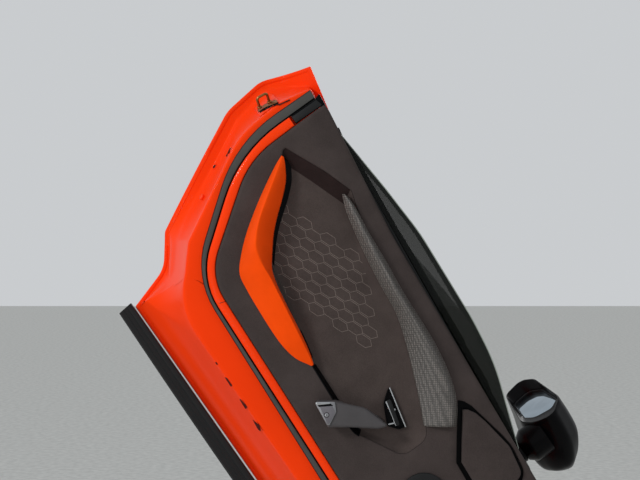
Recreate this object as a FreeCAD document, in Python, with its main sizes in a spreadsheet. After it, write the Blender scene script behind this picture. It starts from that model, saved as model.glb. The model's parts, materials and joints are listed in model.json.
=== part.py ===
# Raised left-hand scissor door of a mid-engined car, in millimetres.
# The door is drawn closed: u runs to the front of the car, y outboard and v up, from the rear end of the sill.
# It is then turned up about the hinge's axis, and stored open in the frame of the body's hinge bracket.
import FreeCAD, Part
import Sketcher
import math
import os
from FreeCAD import Vector

doc = FreeCAD.newDocument("ScissorDoor")
sheet = doc.addObject("Spreadsheet::Sheet", "Sizes")

# Driving sizes: alias, value and meaning
SIZES = [
    ("open_angle", 55, "degrees that the door stands open"),
    ("pivot_u", 1010, "hinge axis ahead of the sill's rear end"),
    ("pivot_v", 400, "hinge axis above the sill"),
    ("pivot_reach", 90, "hinge axis behind the bracket's bolt pattern"),
    ("skin_thick", 3, "outer skin with its sound pad"),
    ("frame_thick", 3, "inner frame"),
    ("seat_gap", 0.3, "gap between pieces that seat on each other"),
    ("flange_depth", 80, "seal plane to the door's outer flange"),
    ("seal_height", 12, "weatherstrip, standing"),
    ("accent_height", 16, "painted accent strip, standing"),
    ("trim_height", 22, "lower trim band above the seal plane"),
    ("rail_height", 27, "trim's rail above the recess, at its foot"),
    ("belt_height", 11, "trim's rail at the belt"),
    ("insert_height", 5, "floor of the recessed insert above the seal plane"),
    ("insert_thick", 3, "insert on the recess's walls"),
    ("pod_floor", 8, "floor of the groove round the pod panel"),
    ("pod_height", 26, "pod panel above the seal plane"),
    ("glass_thick", 4, "window glass"),
    ("glass_radius", 1100, "curvature of the window glass"),
    ("glass_lean", 22, "lean of the glass at the belt, in degrees"),
    ("glass_belt_y", 25, "glass at the belt, from the seal plane"),
    ("belt_fall", 4.95, "fall of the belt line to the front, in degrees"),
    ("moulding_outer_y", 56, "outer belt moulding, outboard face"),
    ("moulding_width", 20, "outer belt moulding, across"),
    ("belt_seal_width", 12, "inner belt seal, across"),
    ("sill_outer_y", 104, "sill strip, outboard face"),
    ("sill_width", 20, "sill strip, across"),
    ("handle_top", 56, "grab handle above the seal plane"),
    ("handle_under", 42, "underside of the grab handle's bar"),
    ("cap_top", 60, "grab handle's cap"),
    ("pocket_depth", 6, "lever pocket, its rim"),
    ("pocket_floor", 1.5, "lever pocket, its floor"),
    ("lever_thick", 6, "release lever"),
    ("grille_height", 27, "speaker grille above the seal plane"),
    ("slot_width", 5, "slot in the speaker grille"),
    ("slot_pitch", 15, "pitch of the grille's slots"),
    ("slot_count", 8, "slots in the speaker grille"),
    ("striker_wire", 2.8, "striker wire, radius"),
    ("striker_reach", 26, "striker loop from its plate"),
    ("flap_groove", 1.5, "groove round the flush outer handle"),
    ("plate_thick", 12, "bracket plate"),
    ("bolt_span_x", 70, "bolt pattern along the car"),
    ("bolt_span_z", 64, "bolt pattern, upright"),
    ("bolt_hole_radius", 5.25, "bolt hole"),
    ("bolt_seat_radius", 10, "relief for a bolt's head"),
    ("arm_inner_y", 44, "hinge arm, inboard face"),
    ("arm_outer_y", 62, "hinge arm, outboard face"),
    ("lug_thick", 14, "clevis lug"),
    ("lug_radius", 24, "clevis lug, end"),
    ("pin_radius", 8, "hinge pin"),
    ("pin_head_radius", 12, "hinge pin's head"),
    ("pin_clearance", 0.05, "running clearance round a pin"),
    ("strut_radius", 110, "hinge axis to the strut's two ends"),
    ("strut_open_spread", 135, "angle between the strut's ends when open, in degrees"),
    ("stud_closed_angle", 245, "direction of the door's stud when closed, in degrees"),
    ("strut_y", 28, "plane of the gas strut"),
    ("eye_thick", 12, "strut end eye"),
    ("eye_radius", 10, "strut end eye, outside"),
    ("strut_pin_radius", 5, "strut anchor pin"),
    ("tube_radius", 9, "gas strut tube"),
    ("rod_radius", 4, "gas strut rod"),
    ("tube_length", 112, "gas strut tube, from its pin"),
    ("tube_wall", 2, "gas strut tube wall"),
    ("fold_u", 734, "mirror fold axis"),
    ("fold_y", 178, "mirror fold axis, outboard"),
    ("fold_v", 500, "mirror base's top"),
    ("mirror_u", 688, "mirror's rear face, along the car"),
    ("mirror_y", 175, "mirror's rear face, outboard"),
    ("mirror_toe", 16, "mirror turned to the driver, in degrees"),
    ("mirror_wall", 4, "mirror housing wall"),
]
row = 1
for alias, value, meaning in SIZES:
    sheet.set("A%d" % row, alias)
    sheet.set("B%d" % row, str(value))
    sheet.set("C%d" % row, meaning)
    sheet.setAlias("B%d" % row, alias)
    row += 1
doc.recompute()


def size(alias):
    return float(sheet.get(alias))


open_angle = size("open_angle")
pivot = Vector(size("pivot_u"), 0, size("pivot_v"))
pivot_placed = Vector(-size("pivot_reach"), 0, 0)
skin_t = size("skin_thick")
frame_t = size("frame_thick")
gap = size("seat_gap")
trim_h = size("trim_height")
rail_h = size("rail_height")
insert_h = size("insert_height")

# Outlines in the closed door's side view: u, v and corner radius, clockwise from the lower rear corner
HEM = [(0, 0, 6), (-32, 94, 70), (-95, 142, 22), (-225, 398, 90), (-238, 492, 60),
       (-199, 594, 3), (20, 546, 900), (900, 470, 70), (985, 360, 110), (985, 0, 40)]
FLANGE = [(14, 38, 30), (-2, 100, 60), (-62, 152, 30), (-196, 404, 50), (-209, 486, 50),
          (-172, 572, 8), (24, 529, 600), (880, 454, 60), (955, 350, 90), (955, 38, 40)]
PLATEAU = [(60, 85, 160), (8, 136.5, 200), (-42, 180, 40), (-160, 386, 200), (-168, 500, 60),
           (-156, 566, 8), (24, 527, 500), (868, 450, 50), (930, 340, 80), (930, 80, 50)]
# Outer edge of the seal, the line that it shares with the accent strip, and the accent strip's inner edge
SEAL = [(21.5, 148, 176), (-155, 377, 290), (-153, 700, 5), (720, 700, 5), (905, 330, 80), (905, 102, 70)]
ACCENT = [(34.5, 157, 147), (-131, 371, 290), (-134, 700, 5), (716, 700, 5), (880, 320, 70), (880, 123, 50)]
ACCENT_INNER = [(40.5, 176.7, 114), (-107, 377.6, 192), (-117.9, 700, 5), (694.5, 700, 5), (862, 318, 60),
                (862, 140.7, 40)]
# The trim, the hollow in it at its edge, and the hollow's flat floor
TRIM = [(41, 177, 114), (-106.5, 377.6, 192), (-113, 570, 5), (-96, 569.5, 40), (190, 529, 900),
        (790, 482, 12), (861.7, 315, 60), (861.7, 141, 40)]
RECESS = [(305, 246, 12), (60, 300, 150), (-84, 446, 6), (-84, 453, 3), (5, 493, 200), (64, 513, 10),
          (190, 472, 300), (330, 452, 200), (566, 352, 30), (568, 290, 30), (470, 236, 40)]
FLOOR = [(312, 250, 12), (62, 304, 150), (-64, 430, 6), (-36, 443, 3), (5, 459, 200), (80, 486, 10),
         (174, 453, 300), (323, 403, 200), (538, 324, 14), (540, 292, 20), (466, 244, 34)]
# Lower part of the trim, below the rail
LOWER = [(-300, 0, 0), (-300, 600, 0), (-105, 600, 0), (-90, 463, 20), (190, 435, 400), (1000, 371, 0), (1000, 0, 0)]

# Sections of the outer skin: u, then height and depth of the belt, shoulder, scallop, hip and sill
SECTIONS = [(-260, 612, 52, 505, 98, 330, 84, 150, 104, -20, 98),
            (60, 547, 50, 452, 128, 300, 104, 120, 138, -20, 106),
            (380, 519, 50, 425, 146, 280, 132, 110, 150, -20, 108),
            (700, 491, 48, 405, 146, 262, 146, 105, 148, -20, 104),
            (1010, 464, 40, 390, 122, 250, 128, 100, 124, -20, 92)]


def turns(corners):
    """Start, middle and end of the arc at each corner, all one point where its radius is 0"""
    count = len(corners)
    arcs = []
    for i in range(count):
        u, v, radius = corners[i]
        here = Vector(u, v, 0)
        if radius == 0:
            arcs.append((here, here, here))
            continue
        last = Vector(corners[i - 1][0], corners[i - 1][1], 0)
        ahead = Vector(corners[(i + 1) % count][0], corners[(i + 1) % count][1], 0)
        back = (last - here).normalize()
        on = (ahead - here).normalize()
        half = back.getAngle(on) / 2
        reach = radius / math.tan(half)
        middle = here + (back + on).normalize() * (radius / math.sin(half) - radius)
        arcs.append((here + back * reach, middle, here + on * reach))
    return arcs


def rounded(corners, y):
    """Closed wire of lines and arcs at depth y"""
    arcs = [[Vector(spot.x, y, spot.y) for spot in arc] for arc in turns(corners)]
    edges = []
    for i, (start, middle, end) in enumerate(arcs):
        if start != end:
            edges.append(Part.Arc(start, middle, end).toShape())
        edges.append(Part.LineSegment(end, arcs[(i + 1) % len(arcs)][0]).toShape())
    return Part.Wire(edges)


def inset(corners, distance):
    """Outline moved inwards by a distance"""
    moved = []
    count = len(corners)
    sides = []
    for i in range(count):
        a = corners[i]
        b = corners[(i + 1) % count]
        length = math.hypot(b[0] - a[0], b[1] - a[1])
        du = (b[0] - a[0]) / length
        dv = (b[1] - a[1]) / length
        sides.append((a[0] + dv * distance, a[1] - du * distance, du, dv))
    for i in range(count):
        u1, v1, du1, dv1 = sides[i - 1]
        u2, v2, du2, dv2 = sides[i]
        cross = du1 * dv2 - dv1 * du2
        along = ((u2 - u1) * dv2 - (v2 - v1) * du2) / cross
        turn = distance if cross > 0 else -distance
        radius = corners[i][2]
        moved.append((u1 + du1 * along, v1 + dv1 * along, radius and max(radius + turn, 0.5)))
    return moved


def slab(corners, y_low, y_high):
    """Solid between two depths inside an outline"""
    face = Part.Face(rounded(corners, y_low))
    return face.extrude(Vector(0, y_high - y_low, 0))


def tapered(low, y_low, high, y_high):
    """Solid between an outline at one depth and an outline at another"""
    return Part.makeLoft([rounded(low, y_low), rounded(high, y_high)], True, True)


def ridge_loft(stations, base_y, ruled=False):
    """Ridge whose sections run from a lower edge over a crest to an upper edge"""
    wires = []
    for low_u, low_v, top_u, top_v, top_y, high_u, high_v in stations:
        low = Vector(low_u, base_y, low_v)
        top = Vector(top_u, top_y, top_v)
        high = Vector(high_u, base_y, high_v)
        wires.append(Part.makePolygon([low, top, high, low]))
    return Part.makeLoft(wires, True, ruled)


def disc(centre, radius, y_low, y_high):
    return Part.makeCylinder(radius, y_high - y_low, Vector(centre[0], y_low, centre[1]), Vector(0, 1, 0))


def skin_arcs(section, shift):
    """Outline of one skin section, moved inboard by a shift"""
    u, belt_v, belt_y, top_v, top_y, mid_v, mid_y, hip_v, hip_y, sill_v, sill_y = section
    belt = Vector(u, belt_y - shift, belt_v)
    shoulder = Vector(u, top_y - shift, top_v)
    scallop = Vector(u, mid_y - shift, mid_v)
    hip = Vector(u, hip_y - shift, hip_v)
    sill = Vector(u, sill_y - shift, sill_v)

    def bulge(a, b, rise):
        along = b - a
        return (a + b) * 0.5 + Vector(0, -along.z, along.y).normalize() * rise
    return [(belt, bulge(belt, shoulder, 12), shoulder), (shoulder, scallop, hip), (hip, bulge(hip, sill, 6), sill)]


def skin_band(outer_shift, inner_shift):
    """Layer between two shifts of the skin's surface"""
    wires = []
    for section in SECTIONS:
        outer = skin_arcs(section, outer_shift)
        inner = skin_arcs(section, inner_shift)
        edges = [Part.Arc(*arc).toShape() for arc in outer]
        edges.append(Part.LineSegment(outer[-1][2], inner[-1][2]).toShape())
        edges += [Part.Arc(c, b, a).toShape() for a, b, c in reversed(inner)]
        edges.append(Part.LineSegment(inner[0][0], outer[0][0]).toShape())
        wires.append(Part.Wire(edges))
    return Part.makeLoft(wires, True, False)


def inside_skin(shift, deep_y):
    """Everything between a depth and a shift of the skin's surface"""
    wires = []
    for section in SECTIONS:
        outer = skin_arcs(section, shift)
        edges = [Part.Arc(*arc).toShape() for arc in outer]
        sill = outer[-1][2]
        belt = outer[0][0]
        low = Vector(sill.x, deep_y, sill.z)
        high = Vector(belt.x, deep_y, belt.z)
        edges.append(Part.LineSegment(sill, low).toShape())
        edges.append(Part.LineSegment(low, high).toShape())
        edges.append(Part.LineSegment(high, belt).toShape())
        wires.append(Part.Wire(edges))
    return Part.makeLoft(wires, True, False)


pieces = []
# The door's own place: turned up about the hinge's axis
door_turn = FreeCAD.Rotation(Vector(0, 1, 0), open_angle)
door_place = FreeCAD.Placement(pivot_placed - door_turn.multVec(pivot), door_turn)


def add(label, shape, place=door_place):
    """One sub-part whose shape is worked out here"""
    piece = doc.addObject("Part::Feature", label)
    piece.Label = label
    piece.Shape = shape
    piece.Placement = place.multiply(shape.Placement)
    pieces.append(piece)


def new_body(label, place=door_place):
    body = doc.addObject("PartDesign::Body", label)
    body.Label = label
    body.Placement = place
    pieces.append(body)
    return body


def draw(body, name, depth, corners):
    """Sketch of an outline in the side view, at a depth given by an expression"""
    sketch = body.newObject("Sketcher::SketchObject", name)
    for plane in body.Origin.OriginFeatures:
        if plane.Role == "XZ_Plane":
            sketch.AttachmentSupport = [(plane, "")]
    sketch.MapMode = "FlatFace"
    sketch.setExpression("AttachmentOffset.Base.z", "-(" + depth + ")")
    arcs = turns(corners)
    for i, (start, middle, end) in enumerate(arcs):
        if start != end:
            sketch.addGeometry(Part.Arc(start, middle, end), False)
        sketch.addGeometry(Part.LineSegment(end, arcs[(i + 1) % len(arcs)][0]), False)
    return sketch


def pad(body, name, depth, length, corners):
    """Outline padded inboard from a depth"""
    feature = body.newObject("PartDesign::Pad", name)
    feature.Profile = draw(body, name + "Outline", depth, corners)
    feature.setExpression("Length", length)
    return feature


def pocket(body, name, depth, length, corners):
    """Outline cut inboard from a depth"""
    feature = body.newObject("PartDesign::Pocket", name)
    feature.Profile = draw(body, name + "Outline", depth, corners)
    feature.setExpression("Length", length)
    feature.Reversed = True
    return feature


def bar(name, radius, low, high, spot=(0, 0)):
    """Cylinder along y between two depths given by expressions"""
    piece = doc.addObject("Part::Cylinder", name)
    piece.setExpression("Radius", radius)
    piece.setExpression("Height", "(" + high + ") - (" + low + ")")
    piece.Placement = FreeCAD.Placement(Vector(spot[0], 0, spot[1]), FreeCAD.Rotation(Vector(1, 0, 0), -90))
    piece.setExpression("Placement.Base.y", low)
    return piece


def rod(name, radius, start, length):
    """Cylinder along x from a place, sizes given by expressions"""
    piece = doc.addObject("Part::Cylinder", name)
    piece.setExpression("Radius", radius)
    piece.setExpression("Height", length)
    piece.Placement = FreeCAD.Placement(Vector(0, 0, 0), FreeCAD.Rotation(Vector(0, 1, 0), 90))
    piece.setExpression("Placement.Base.x", start)
    return piece


def fuse(label, shapes):
    piece = doc.addObject("Part::MultiFuse", label)
    piece.Shapes = shapes
    piece.Refine = True
    return piece


def cut(label, base, tool):
    piece = doc.addObject("Part::Cut", label)
    piece.Base = base
    piece.Tool = tool
    return piece


def keep(piece, label, place):
    """Name and place a built-up object as a sub-part"""
    piece.Label = label
    piece.Placement = place
    pieces.append(piece)


# Window glass, a shell of a cylinder whose axis follows the belt line
belt_turn = FreeCAD.Rotation(Vector(0, 1, 0), size("belt_fall"))
belt_point = Vector(20, size("glass_belt_y"), 546)


def glass_shell(outer_step, inner_step):
    lean = math.radians(size("glass_lean"))
    radius = size("glass_radius")
    centre = belt_point - (Vector(0, math.cos(lean), 0) + belt_turn.multVec(Vector(0, 0, math.sin(lean)))) * radius
    along = belt_turn.multVec(Vector(1, 0, 0))
    start = centre - along * 900
    outer = Part.makeCylinder(radius + outer_step, 2400, start, along)
    return outer.cut(Part.makeCylinder(radius - inner_step, 2400, start, along))


# Rear, crown and front of the pane's upper edge, then its hidden lower edge
PANE = [(-20, 402, 12), (-74, 562, 6), (230, 608, 900), (699, 489, 6), (689, 332, 12)]


def window_glass():
    return glass_shell(0, size("glass_thick")).common(slab(PANE, -100, 200))


# Flush handle flap in the outer skin, under the shoulder
FLAP = [(-70, 452, 6), (-74, 476, 6), (96, 461, 6), (94, 438, 6)]


def outer_skin():
    """Skin with the groove round its flush handle"""
    skin = skin_band(0, skin_t).common(slab(HEM, -50, 250))
    groove = slab(FLAP, 0, 250).cut(slab(inset(FLAP, size("flap_groove")), -1, 251))
    return skin.cut(groove.common(skin_band(0, skin_t / 2)))


def frame_cup(distance, floor_y):
    """Solid inside the frame's shut faces"""
    floor = rounded(inset(PLATEAU, distance), floor_y)
    mouth = rounded(inset(FLANGE, distance), size("flange_depth"))
    taper = Part.makeLoft([floor, mouth], True, True)
    return taper.fuse(Part.Face(mouth).extrude(Vector(0, 150, 0)))


frame_envelope = frame_cup(0, 0)


# Direction that the rear shut face looks in, as u, y and v
shut_face = Vector(-0.8, -0.6, 0)


def on_shut_face(outline, height):
    """Pad that follows the sloping shut face"""
    seat = frame_envelope.copy()
    seat.translate(shut_face * gap)
    lifted = frame_envelope.copy()
    lifted.translate(shut_face * height)
    return outline.cut(seat).common(lifted)


# Slot that the glass drops through, and its room on each side of the glass
SLOT = [(-90, 480, 0), (-90, 620, 0), (715, 560, 0), (715, 420, 0)]
slot_room = 8


def inner_frame():
    body = slab(inset(HEM, 1.5), -50, 250).common(inside_skin(skin_t + gap, -60))
    outside = inside_skin(skin_t + gap + frame_t, -70).cut(frame_envelope)
    slot = glass_shell(slot_room, size("glass_thick") + slot_room).common(slab(SLOT, -60, 120))
    slot = slot.cut(slab(inset(PLATEAU, 25), -60, 120))
    return body.cut(outside).cut(frame_cup(frame_t, frame_t)).cut(slot)


def ring_band(outer, inner, y_low, y_high, top):
    """Standing strip between two outlines, open at the belt"""
    ring = slab(outer, y_low, y_high).cut(slab(inner, y_low - 1, y_high + 1))
    return ring.common(slab(top, y_low - 2, y_high + 2))


add("window_glass", window_glass())
add("outer_skin", outer_skin())
add("inner_frame", inner_frame())
# Where the strips end below the window
SEAL_END = [(-300, -80, 0), (-300, 575, 0), (-100, 575, 0), (0, 549, 0), (1100, 455, 0), (1100, -80, 0)]
ACCENT_END = [(-300, -80, 0), (-300, 497, 0), (1100, 469, 0), (1100, -80, 0)]
add("door_seal", ring_band(SEAL, inset(ACCENT, -gap), -size("seal_height"), -gap, SEAL_END))
add("accent_strip", ring_band(ACCENT, inset(ACCENT_INNER, -gap), -size("accent_height"), -gap, ACCENT_END))


# Trim: a lower band, and a rail that leans back to the belt above the recess
def belt_v(u):
    """Height of the trim's upper edge"""
    return 556.7 - (u - 6) * 0.165 if u < 190 else 529 - (u - 190) * 0.0789


def rail_cut():
    """What is cut away for the rail to lean back"""
    wires = []
    for u in (-260, 190, 950):
        edge = belt_v(u)
        low = Vector(u, -rail_h, edge - rail_width)
        belt = Vector(u, -size("belt_height"), edge)
        past = Vector(u, -size("belt_height") + 3, edge + 12)
        room = Vector(u, -rail_h - 20, edge + 12)
        wires.append(Part.makePolygon([low, belt, past, room, low]))
    return Part.makeLoft(wires, True, True)


rail_width = 64
# Pod panel in its groove at the front of the rail
POD = [(646, 379, 6), (558.5, 442.4, 2), (564.6, 451, 8), (580, 460.3, 12), (605.6, 467, 40), (675, 477.8, 40),
       (735, 467, 20), (750, 415, 20), (724, 374, 10)]
POD_GROOVE = [(640, 370, 6), (536, 445.3, 2), (545.6, 454.3, 10), (562.8, 462.1, 30), (651, 479.5, 100),
              (676, 482.3, 60), (742, 472, 30), (762, 413, 30), (730, 362, 20)]


def trim_panel():
    band = slab(TRIM, -rail_h, -gap).cut(tapered(LOWER, -trim_h, inset(LOWER, -30), -rail_h - 0.1))
    hollow = tapered(inset(FLOOR, -gap), -gap + 1, inset(RECESS, -gap), -rail_h - 1)
    return band.cut(rail_cut()).cut(hollow).cut(slab(POD_GROOVE, -rail_h - 1, -size("pod_floor")))


def trim_insert():
    """Dish that lines the recess"""
    wall = size("insert_thick")
    dish = tapered(FLOOR, -gap, RECESS, -rail_h - 1)
    hollow = tapered(inset(FLOOR, 0.4), -insert_h, inset(RECESS, wall), -rail_h - 1.1)
    return dish.cut(hollow).cut(slab(HEM, -rail_h - 5, -trim_h + 1)).cut(rail_cut())


add("trim_panel", trim_panel())
add("trim_insert", trim_insert())
pod = new_body("sail_trim")
pad(pod, "Pod", "-(Sizes.pod_floor + Sizes.seat_gap)", "Sizes.pod_height - Sizes.pod_floor - Sizes.seat_gap", POD)

# Armrest blade and spear moulding: lower edge u and v, crest u, v and y, upper edge u and v
BLADE = [(-77, 437.8, -74.5, 438, -26, -72, 439.5),
         (-52.5, 383.5, -40, 390, -50, -27, 416.5),
         (-12, 318, 6, 325, -61, 24, 363),
         (42, 254.3, 50, 288, -62, 68, 316),
         (74, 227.6, 84, 280.5, -60, 100, 292.5),
         (118.6, 221, 121, 276, -55, 128, 280.5),
         (239, 215.9, 240, 256, -40, 243, 260),
         (267, 220, 267, 246, -34, 270, 252),
         (309, 241.5, 309.5, 243.5, -26, 310, 245)]
SPEAR = [(66, 499, 69, 501.5, -31, 73, 504.5),
         (102.5, 479.4, 128, 491, -40, 155, 495.3),
         (248.3, 451.5, 262, 474, -50, 290, 481.5),
         (379, 425.9, 400, 462, -52, 414, 474.5),
         (541.8, 357.5, 572, 404, -42, 581, 411.1)]
add("armrest_blade", ridge_loft(BLADE, -trim_h - gap, True))
add("spear_trim", ridge_loft(SPEAR, -rail_h - gap))

# Corner block at the rear top, between the seal and the trim
CORNER = [(-131.9, 499, 2), (-132.4, 560, 3), (-114.2, 565, 3), (-114.2, 499, 2)]
corner = new_body("corner_block")
pad(corner, "Block", "-Sizes.seat_gap", "Sizes.accent_height - 2 - Sizes.seat_gap", CORNER)

# Striker on the rear shut face, a plate with a wire loop
striker_low = Vector(-183.6, 31, 457)
striker_high = Vector(-185.6, 31, 486)
PLATE = [(-198, 446, 0), (-202, 497, 0), (-172, 498, 0), (-170, 447, 0)]
plate_rise = 4


def striker_loop():
    """Bent wire: two legs, mitred bends and the bar that the latch grips"""
    wire = size("striker_wire")
    bend = 2 * wire
    span = (striker_high - striker_low).Length
    reach = size("striker_reach")
    path = Part.makePolygon([Vector(0, 0, plate_rise), Vector(0, 0, reach - bend), Vector(bend, 0, reach),
                             Vector(span - bend, 0, reach), Vector(span, 0, reach - bend), Vector(span, 0, plate_rise)])
    section = Part.Wire(Part.makeCircle(wire, Vector(0, 0, plate_rise), Vector(0, 0, 1)))
    loop = path.makePipeShell([section], True, False, 1)
    along = (striker_high - striker_low).normalize()
    turn = FreeCAD.Rotation(along, shut_face.cross(along), shut_face, "ZXY")
    loop.Placement = FreeCAD.Placement(striker_low, turn)
    return loop


add("striker_plate", on_shut_face(slab(PLATE, -40, 78), plate_rise))
add("striker_loop", striker_loop())
# Two blind plugs on the rear shut face
plug_radius = 6
plug_rise = 1.8
plugs = disc((-143.5, 310), plug_radius, -40, 78).fuse(disc((-106, 252), plug_radius, -40, 78))
add("shut_buffers", on_shut_face(plugs, plug_rise))

# Black strip under the sill
SILL = [(-4, -34, 3), (-8, -1, 3), (980, -1, 3), (975, -34, 12), (500, -40, 900)]
sill = new_body("sill_strip")
pad(sill, "Strip", "Sizes.sill_outer_y", "Sizes.sill_width", SILL)

# Grab handle: a tapering bar on two feet, with a gap for the fingers, and its cap
HANDLE = [(368, 206, 6), (393, 242, 14), (440, 285, 40), (497, 302, 4), (488, 280, 16), (455, 238, 40), (428, 199, 4)]
FINGERS = [(404, 262, 2), (463, 318, 2), (484, 262, 2), (436, 196, 2)]
FOOT = [(466, 281, 3), (469, 294, 3), (492, 298, 3), (484, 278, 3)]
CAP = [(368.5, 206.5, 4), (392.5, 241, 3), (411, 231.5, 8), (427.5, 200.5, 4)]
handle = new_body("grab_handle")
pad(handle, "Bar", "-(Sizes.rail_height + Sizes.seat_gap)",
    "Sizes.handle_top - Sizes.rail_height - Sizes.seat_gap", HANDLE)
pad(handle, "InnerFoot", "-(Sizes.insert_height + Sizes.seat_gap)", "Sizes.rail_height", FOOT)
pad(handle, "OuterFoot", "-(Sizes.trim_height + Sizes.seat_gap)", "Sizes.rail_height - Sizes.trim_height + 1", CAP)
doc.recompute()
solid_bar = handle.Shape.Volume
pocket(handle, "FingerGap", "0", "Sizes.handle_under", FINGERS)
doc.recompute()
if handle.Shape.Volume > solid_bar - 1000:
    raise ValueError("the finger gap cut nothing")
cap = new_body("handle_cap")
pad(cap, "Cap", "-(Sizes.handle_top + Sizes.seat_gap)", "Sizes.cap_top - Sizes.handle_top - Sizes.seat_gap", CAP)

# Release lever in its pocket
POCKET = [(433.8, 347.3, 3), (522, 327, 5), (519, 313, 8), (499.3, 297, 8), (457.4, 317, 12), (447, 329, 10)]
LEVER = [(455, 324, 3), (457, 335, 4), (512, 320, 3), (510, 311, 3)]
dish = new_body("lever_pocket")
pad(dish, "Rim", "-(Sizes.insert_height + Sizes.seat_gap)", "Sizes.pocket_depth", POCKET)
doc.recompute()
full_dish = dish.Shape.Volume
pocket(dish, "Hollow", "-(Sizes.insert_height + Sizes.seat_gap + Sizes.pocket_floor)", "Sizes.pocket_depth",
       inset(POCKET, 2.5))
doc.recompute()
if dish.Shape.Volume > full_dish - 500:
    raise ValueError("the pocket cut nothing")
lever = new_body("release_lever")
pad(lever, "Blade", "-(Sizes.insert_height + Sizes.pocket_floor + 2 * Sizes.seat_gap)", "Sizes.lever_thick", LEVER)

# Speaker grille with a row of slots
GRILLE = [(620, 170, 40), (604, 322, 50), (740, 332, 50), (800, 170, 50)]
GRILLE_SLOT = [(640, 196, 0), (640, 201, 0), (772, 201, 0), (772, 196, 0)]
grille = new_body("speaker_grille")
pad(grille, "Cover", "-(Sizes.trim_height + Sizes.seat_gap)",
    "Sizes.grille_height - Sizes.trim_height - Sizes.seat_gap", GRILLE)
doc.recompute()
slot = pocket(grille, "Slot", "-(Sizes.grille_height - 2)", "3", GRILLE_SLOT)
doc.recompute()
row_of_slots = grille.newObject("PartDesign::LinearPattern", "Slots")
row_of_slots.Originals = [slot]
row_of_slots.Direction = (slot.Profile[0], ["V_Axis"])
row_of_slots.setExpression("Length", "Sizes.slot_pitch * (Sizes.slot_count - 1)")
row_of_slots.setExpression("Occurrences", "Sizes.slot_count")
grille.Tip = row_of_slots

# Belt pieces on each side of the glass
MOULD = [(-60, 564.2, 0), (-60, 569, 0), (20, 553.5, 0), (690, 493, 0), (690, 488.6, 0), (20, 548.6, 0)]
BELT_SEAL = [(-70, 559, 0), (-70, 566, 0), (20, 551.5, 0), (690, 487, 0), (690, 480, 0), (20, 544.5, 0)]
moulding = new_body("belt_moulding")
pad(moulding, "Moulding", "Sizes.moulding_outer_y", "Sizes.moulding_width", MOULD)
belt_lip = new_body("belt_seal")
pad(belt_lip, "Lip", "Sizes.belt_seal_width", "Sizes.belt_seal_width", BELT_SEAL)

# Mirror head on its folding base: its rear face as distance along the face and height
FACE = [(11, 533), (-29, 555), (-49, 598), (5, 635.5), (155, 622), (192, 595), (172, 545)]
MIRROR_PANE = [(34, 547), (1, 564), (-10, 603), (18, 626), (112, 618), (152, 593), (138, 549)]
# How far the pane goes in per mm along the face
pane_lean = 0.09
# Depth behind the rear face, then the section's share of the face across and upright, and its drop
SHELL = [(0, 1, 1, 0), (45, 1, 1.1, 6), (90, 0.96, 1.17, 15), (130, 0.86, 0.92, 20), (152, 0.66, 0.5, 15)]
shell_centre = (70, 575)
# Share of the pane's outline that the housing's hollow takes
pane_room = 1.06
hub_radius = 26
neck_radius = 40
neck_rise = 18
fold_u = size("fold_u")
fold_y = size("fold_y")
fold_v = size("fold_v")
toe = math.radians(size("mirror_toe"))


def on_mirror(along, depth, v):
    """Point of the mirror head from its place along the face, its depth and its height"""
    return Vector(size("mirror_u") - math.sin(toe) * along + math.cos(toe) * depth,
                  size("mirror_y") + math.cos(toe) * along + math.sin(toe) * depth, v)


def mirror_wire(outline, depth, across=1, upright=1, drop=0, lean=0):
    """Section of the head, scaled about its centre"""
    middle, centre_v = shell_centre
    spots = [on_mirror(middle + (along - middle) * across, depth + lean * along,
                       centre_v + (v - centre_v) * upright - drop) for along, v in outline]
    return Part.makePolygon(spots + spots[:1])


def mirror_plate(depth, thick, share):
    """Plate of the pane's outline at its lean, scaled by a share"""
    ends = [mirror_wire(MIRROR_PANE, d, share, share, 0, pane_lean) for d in (depth, depth + thick)]
    return Part.makeLoft(ends, True, True)


# Mirror's arm: depth, then its rear, front, lower and upper faces
ARM = [(40, 700, 768, 458, 482), (100, 702, 766, 466, 490), (fold_y - 8, 708, 760, 474, fold_v - 6)]


def mirror_base():
    """Arm that rises from the skin to the fold's hub"""
    wires = []
    edge = 5
    for y, u0, u1, v0, v1 in ARM:
        wires.append(Part.makePolygon([Vector(u, y, v) for u, v in (
            (u0, v0 + edge), (u0, v1 - edge), (u0 + edge, v1), (u1 - edge, v1), (u1, v1 - edge), (u1, v0 + edge),
            (u1 - edge, v0), (u0 + edge, v0), (u0, v0 + edge))]))
    arm = Part.makeLoft(wires, True, True)
    hub = Part.makeCylinder(hub_radius, 26, Vector(fold_u, fold_y, fold_v - 26), Vector(0, 0, 1))
    return arm.fuse(hub).cut(inside_skin(-gap, -60))


def mirror_housing():
    wires = [mirror_wire(FACE, depth, across, upright, drop) for depth, across, upright, drop in SHELL]
    shell = Part.makeLoft(wires, True, True)
    hollow = mirror_plate(-30, 55, pane_room)
    foot = Vector(fold_u, fold_y, fold_v + gap)
    collar = Part.makeCone(hub_radius, neck_radius, neck_rise, foot, Vector(0, 0, 1))
    neck = Part.makeCylinder(neck_radius, 70, foot + Vector(0, 0, neck_rise), Vector(0, 0, 1))
    return shell.fuse(collar.fuse(neck)).cut(hollow)


add("mirror_base", mirror_base())
add("mirror_housing", mirror_housing())
add("mirror_bezel", mirror_plate(4, 10, pane_room - 0.01).cut(mirror_plate(0, 20, 1.01)))
add("mirror_glass", mirror_plate(8, 4, 1))

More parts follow.
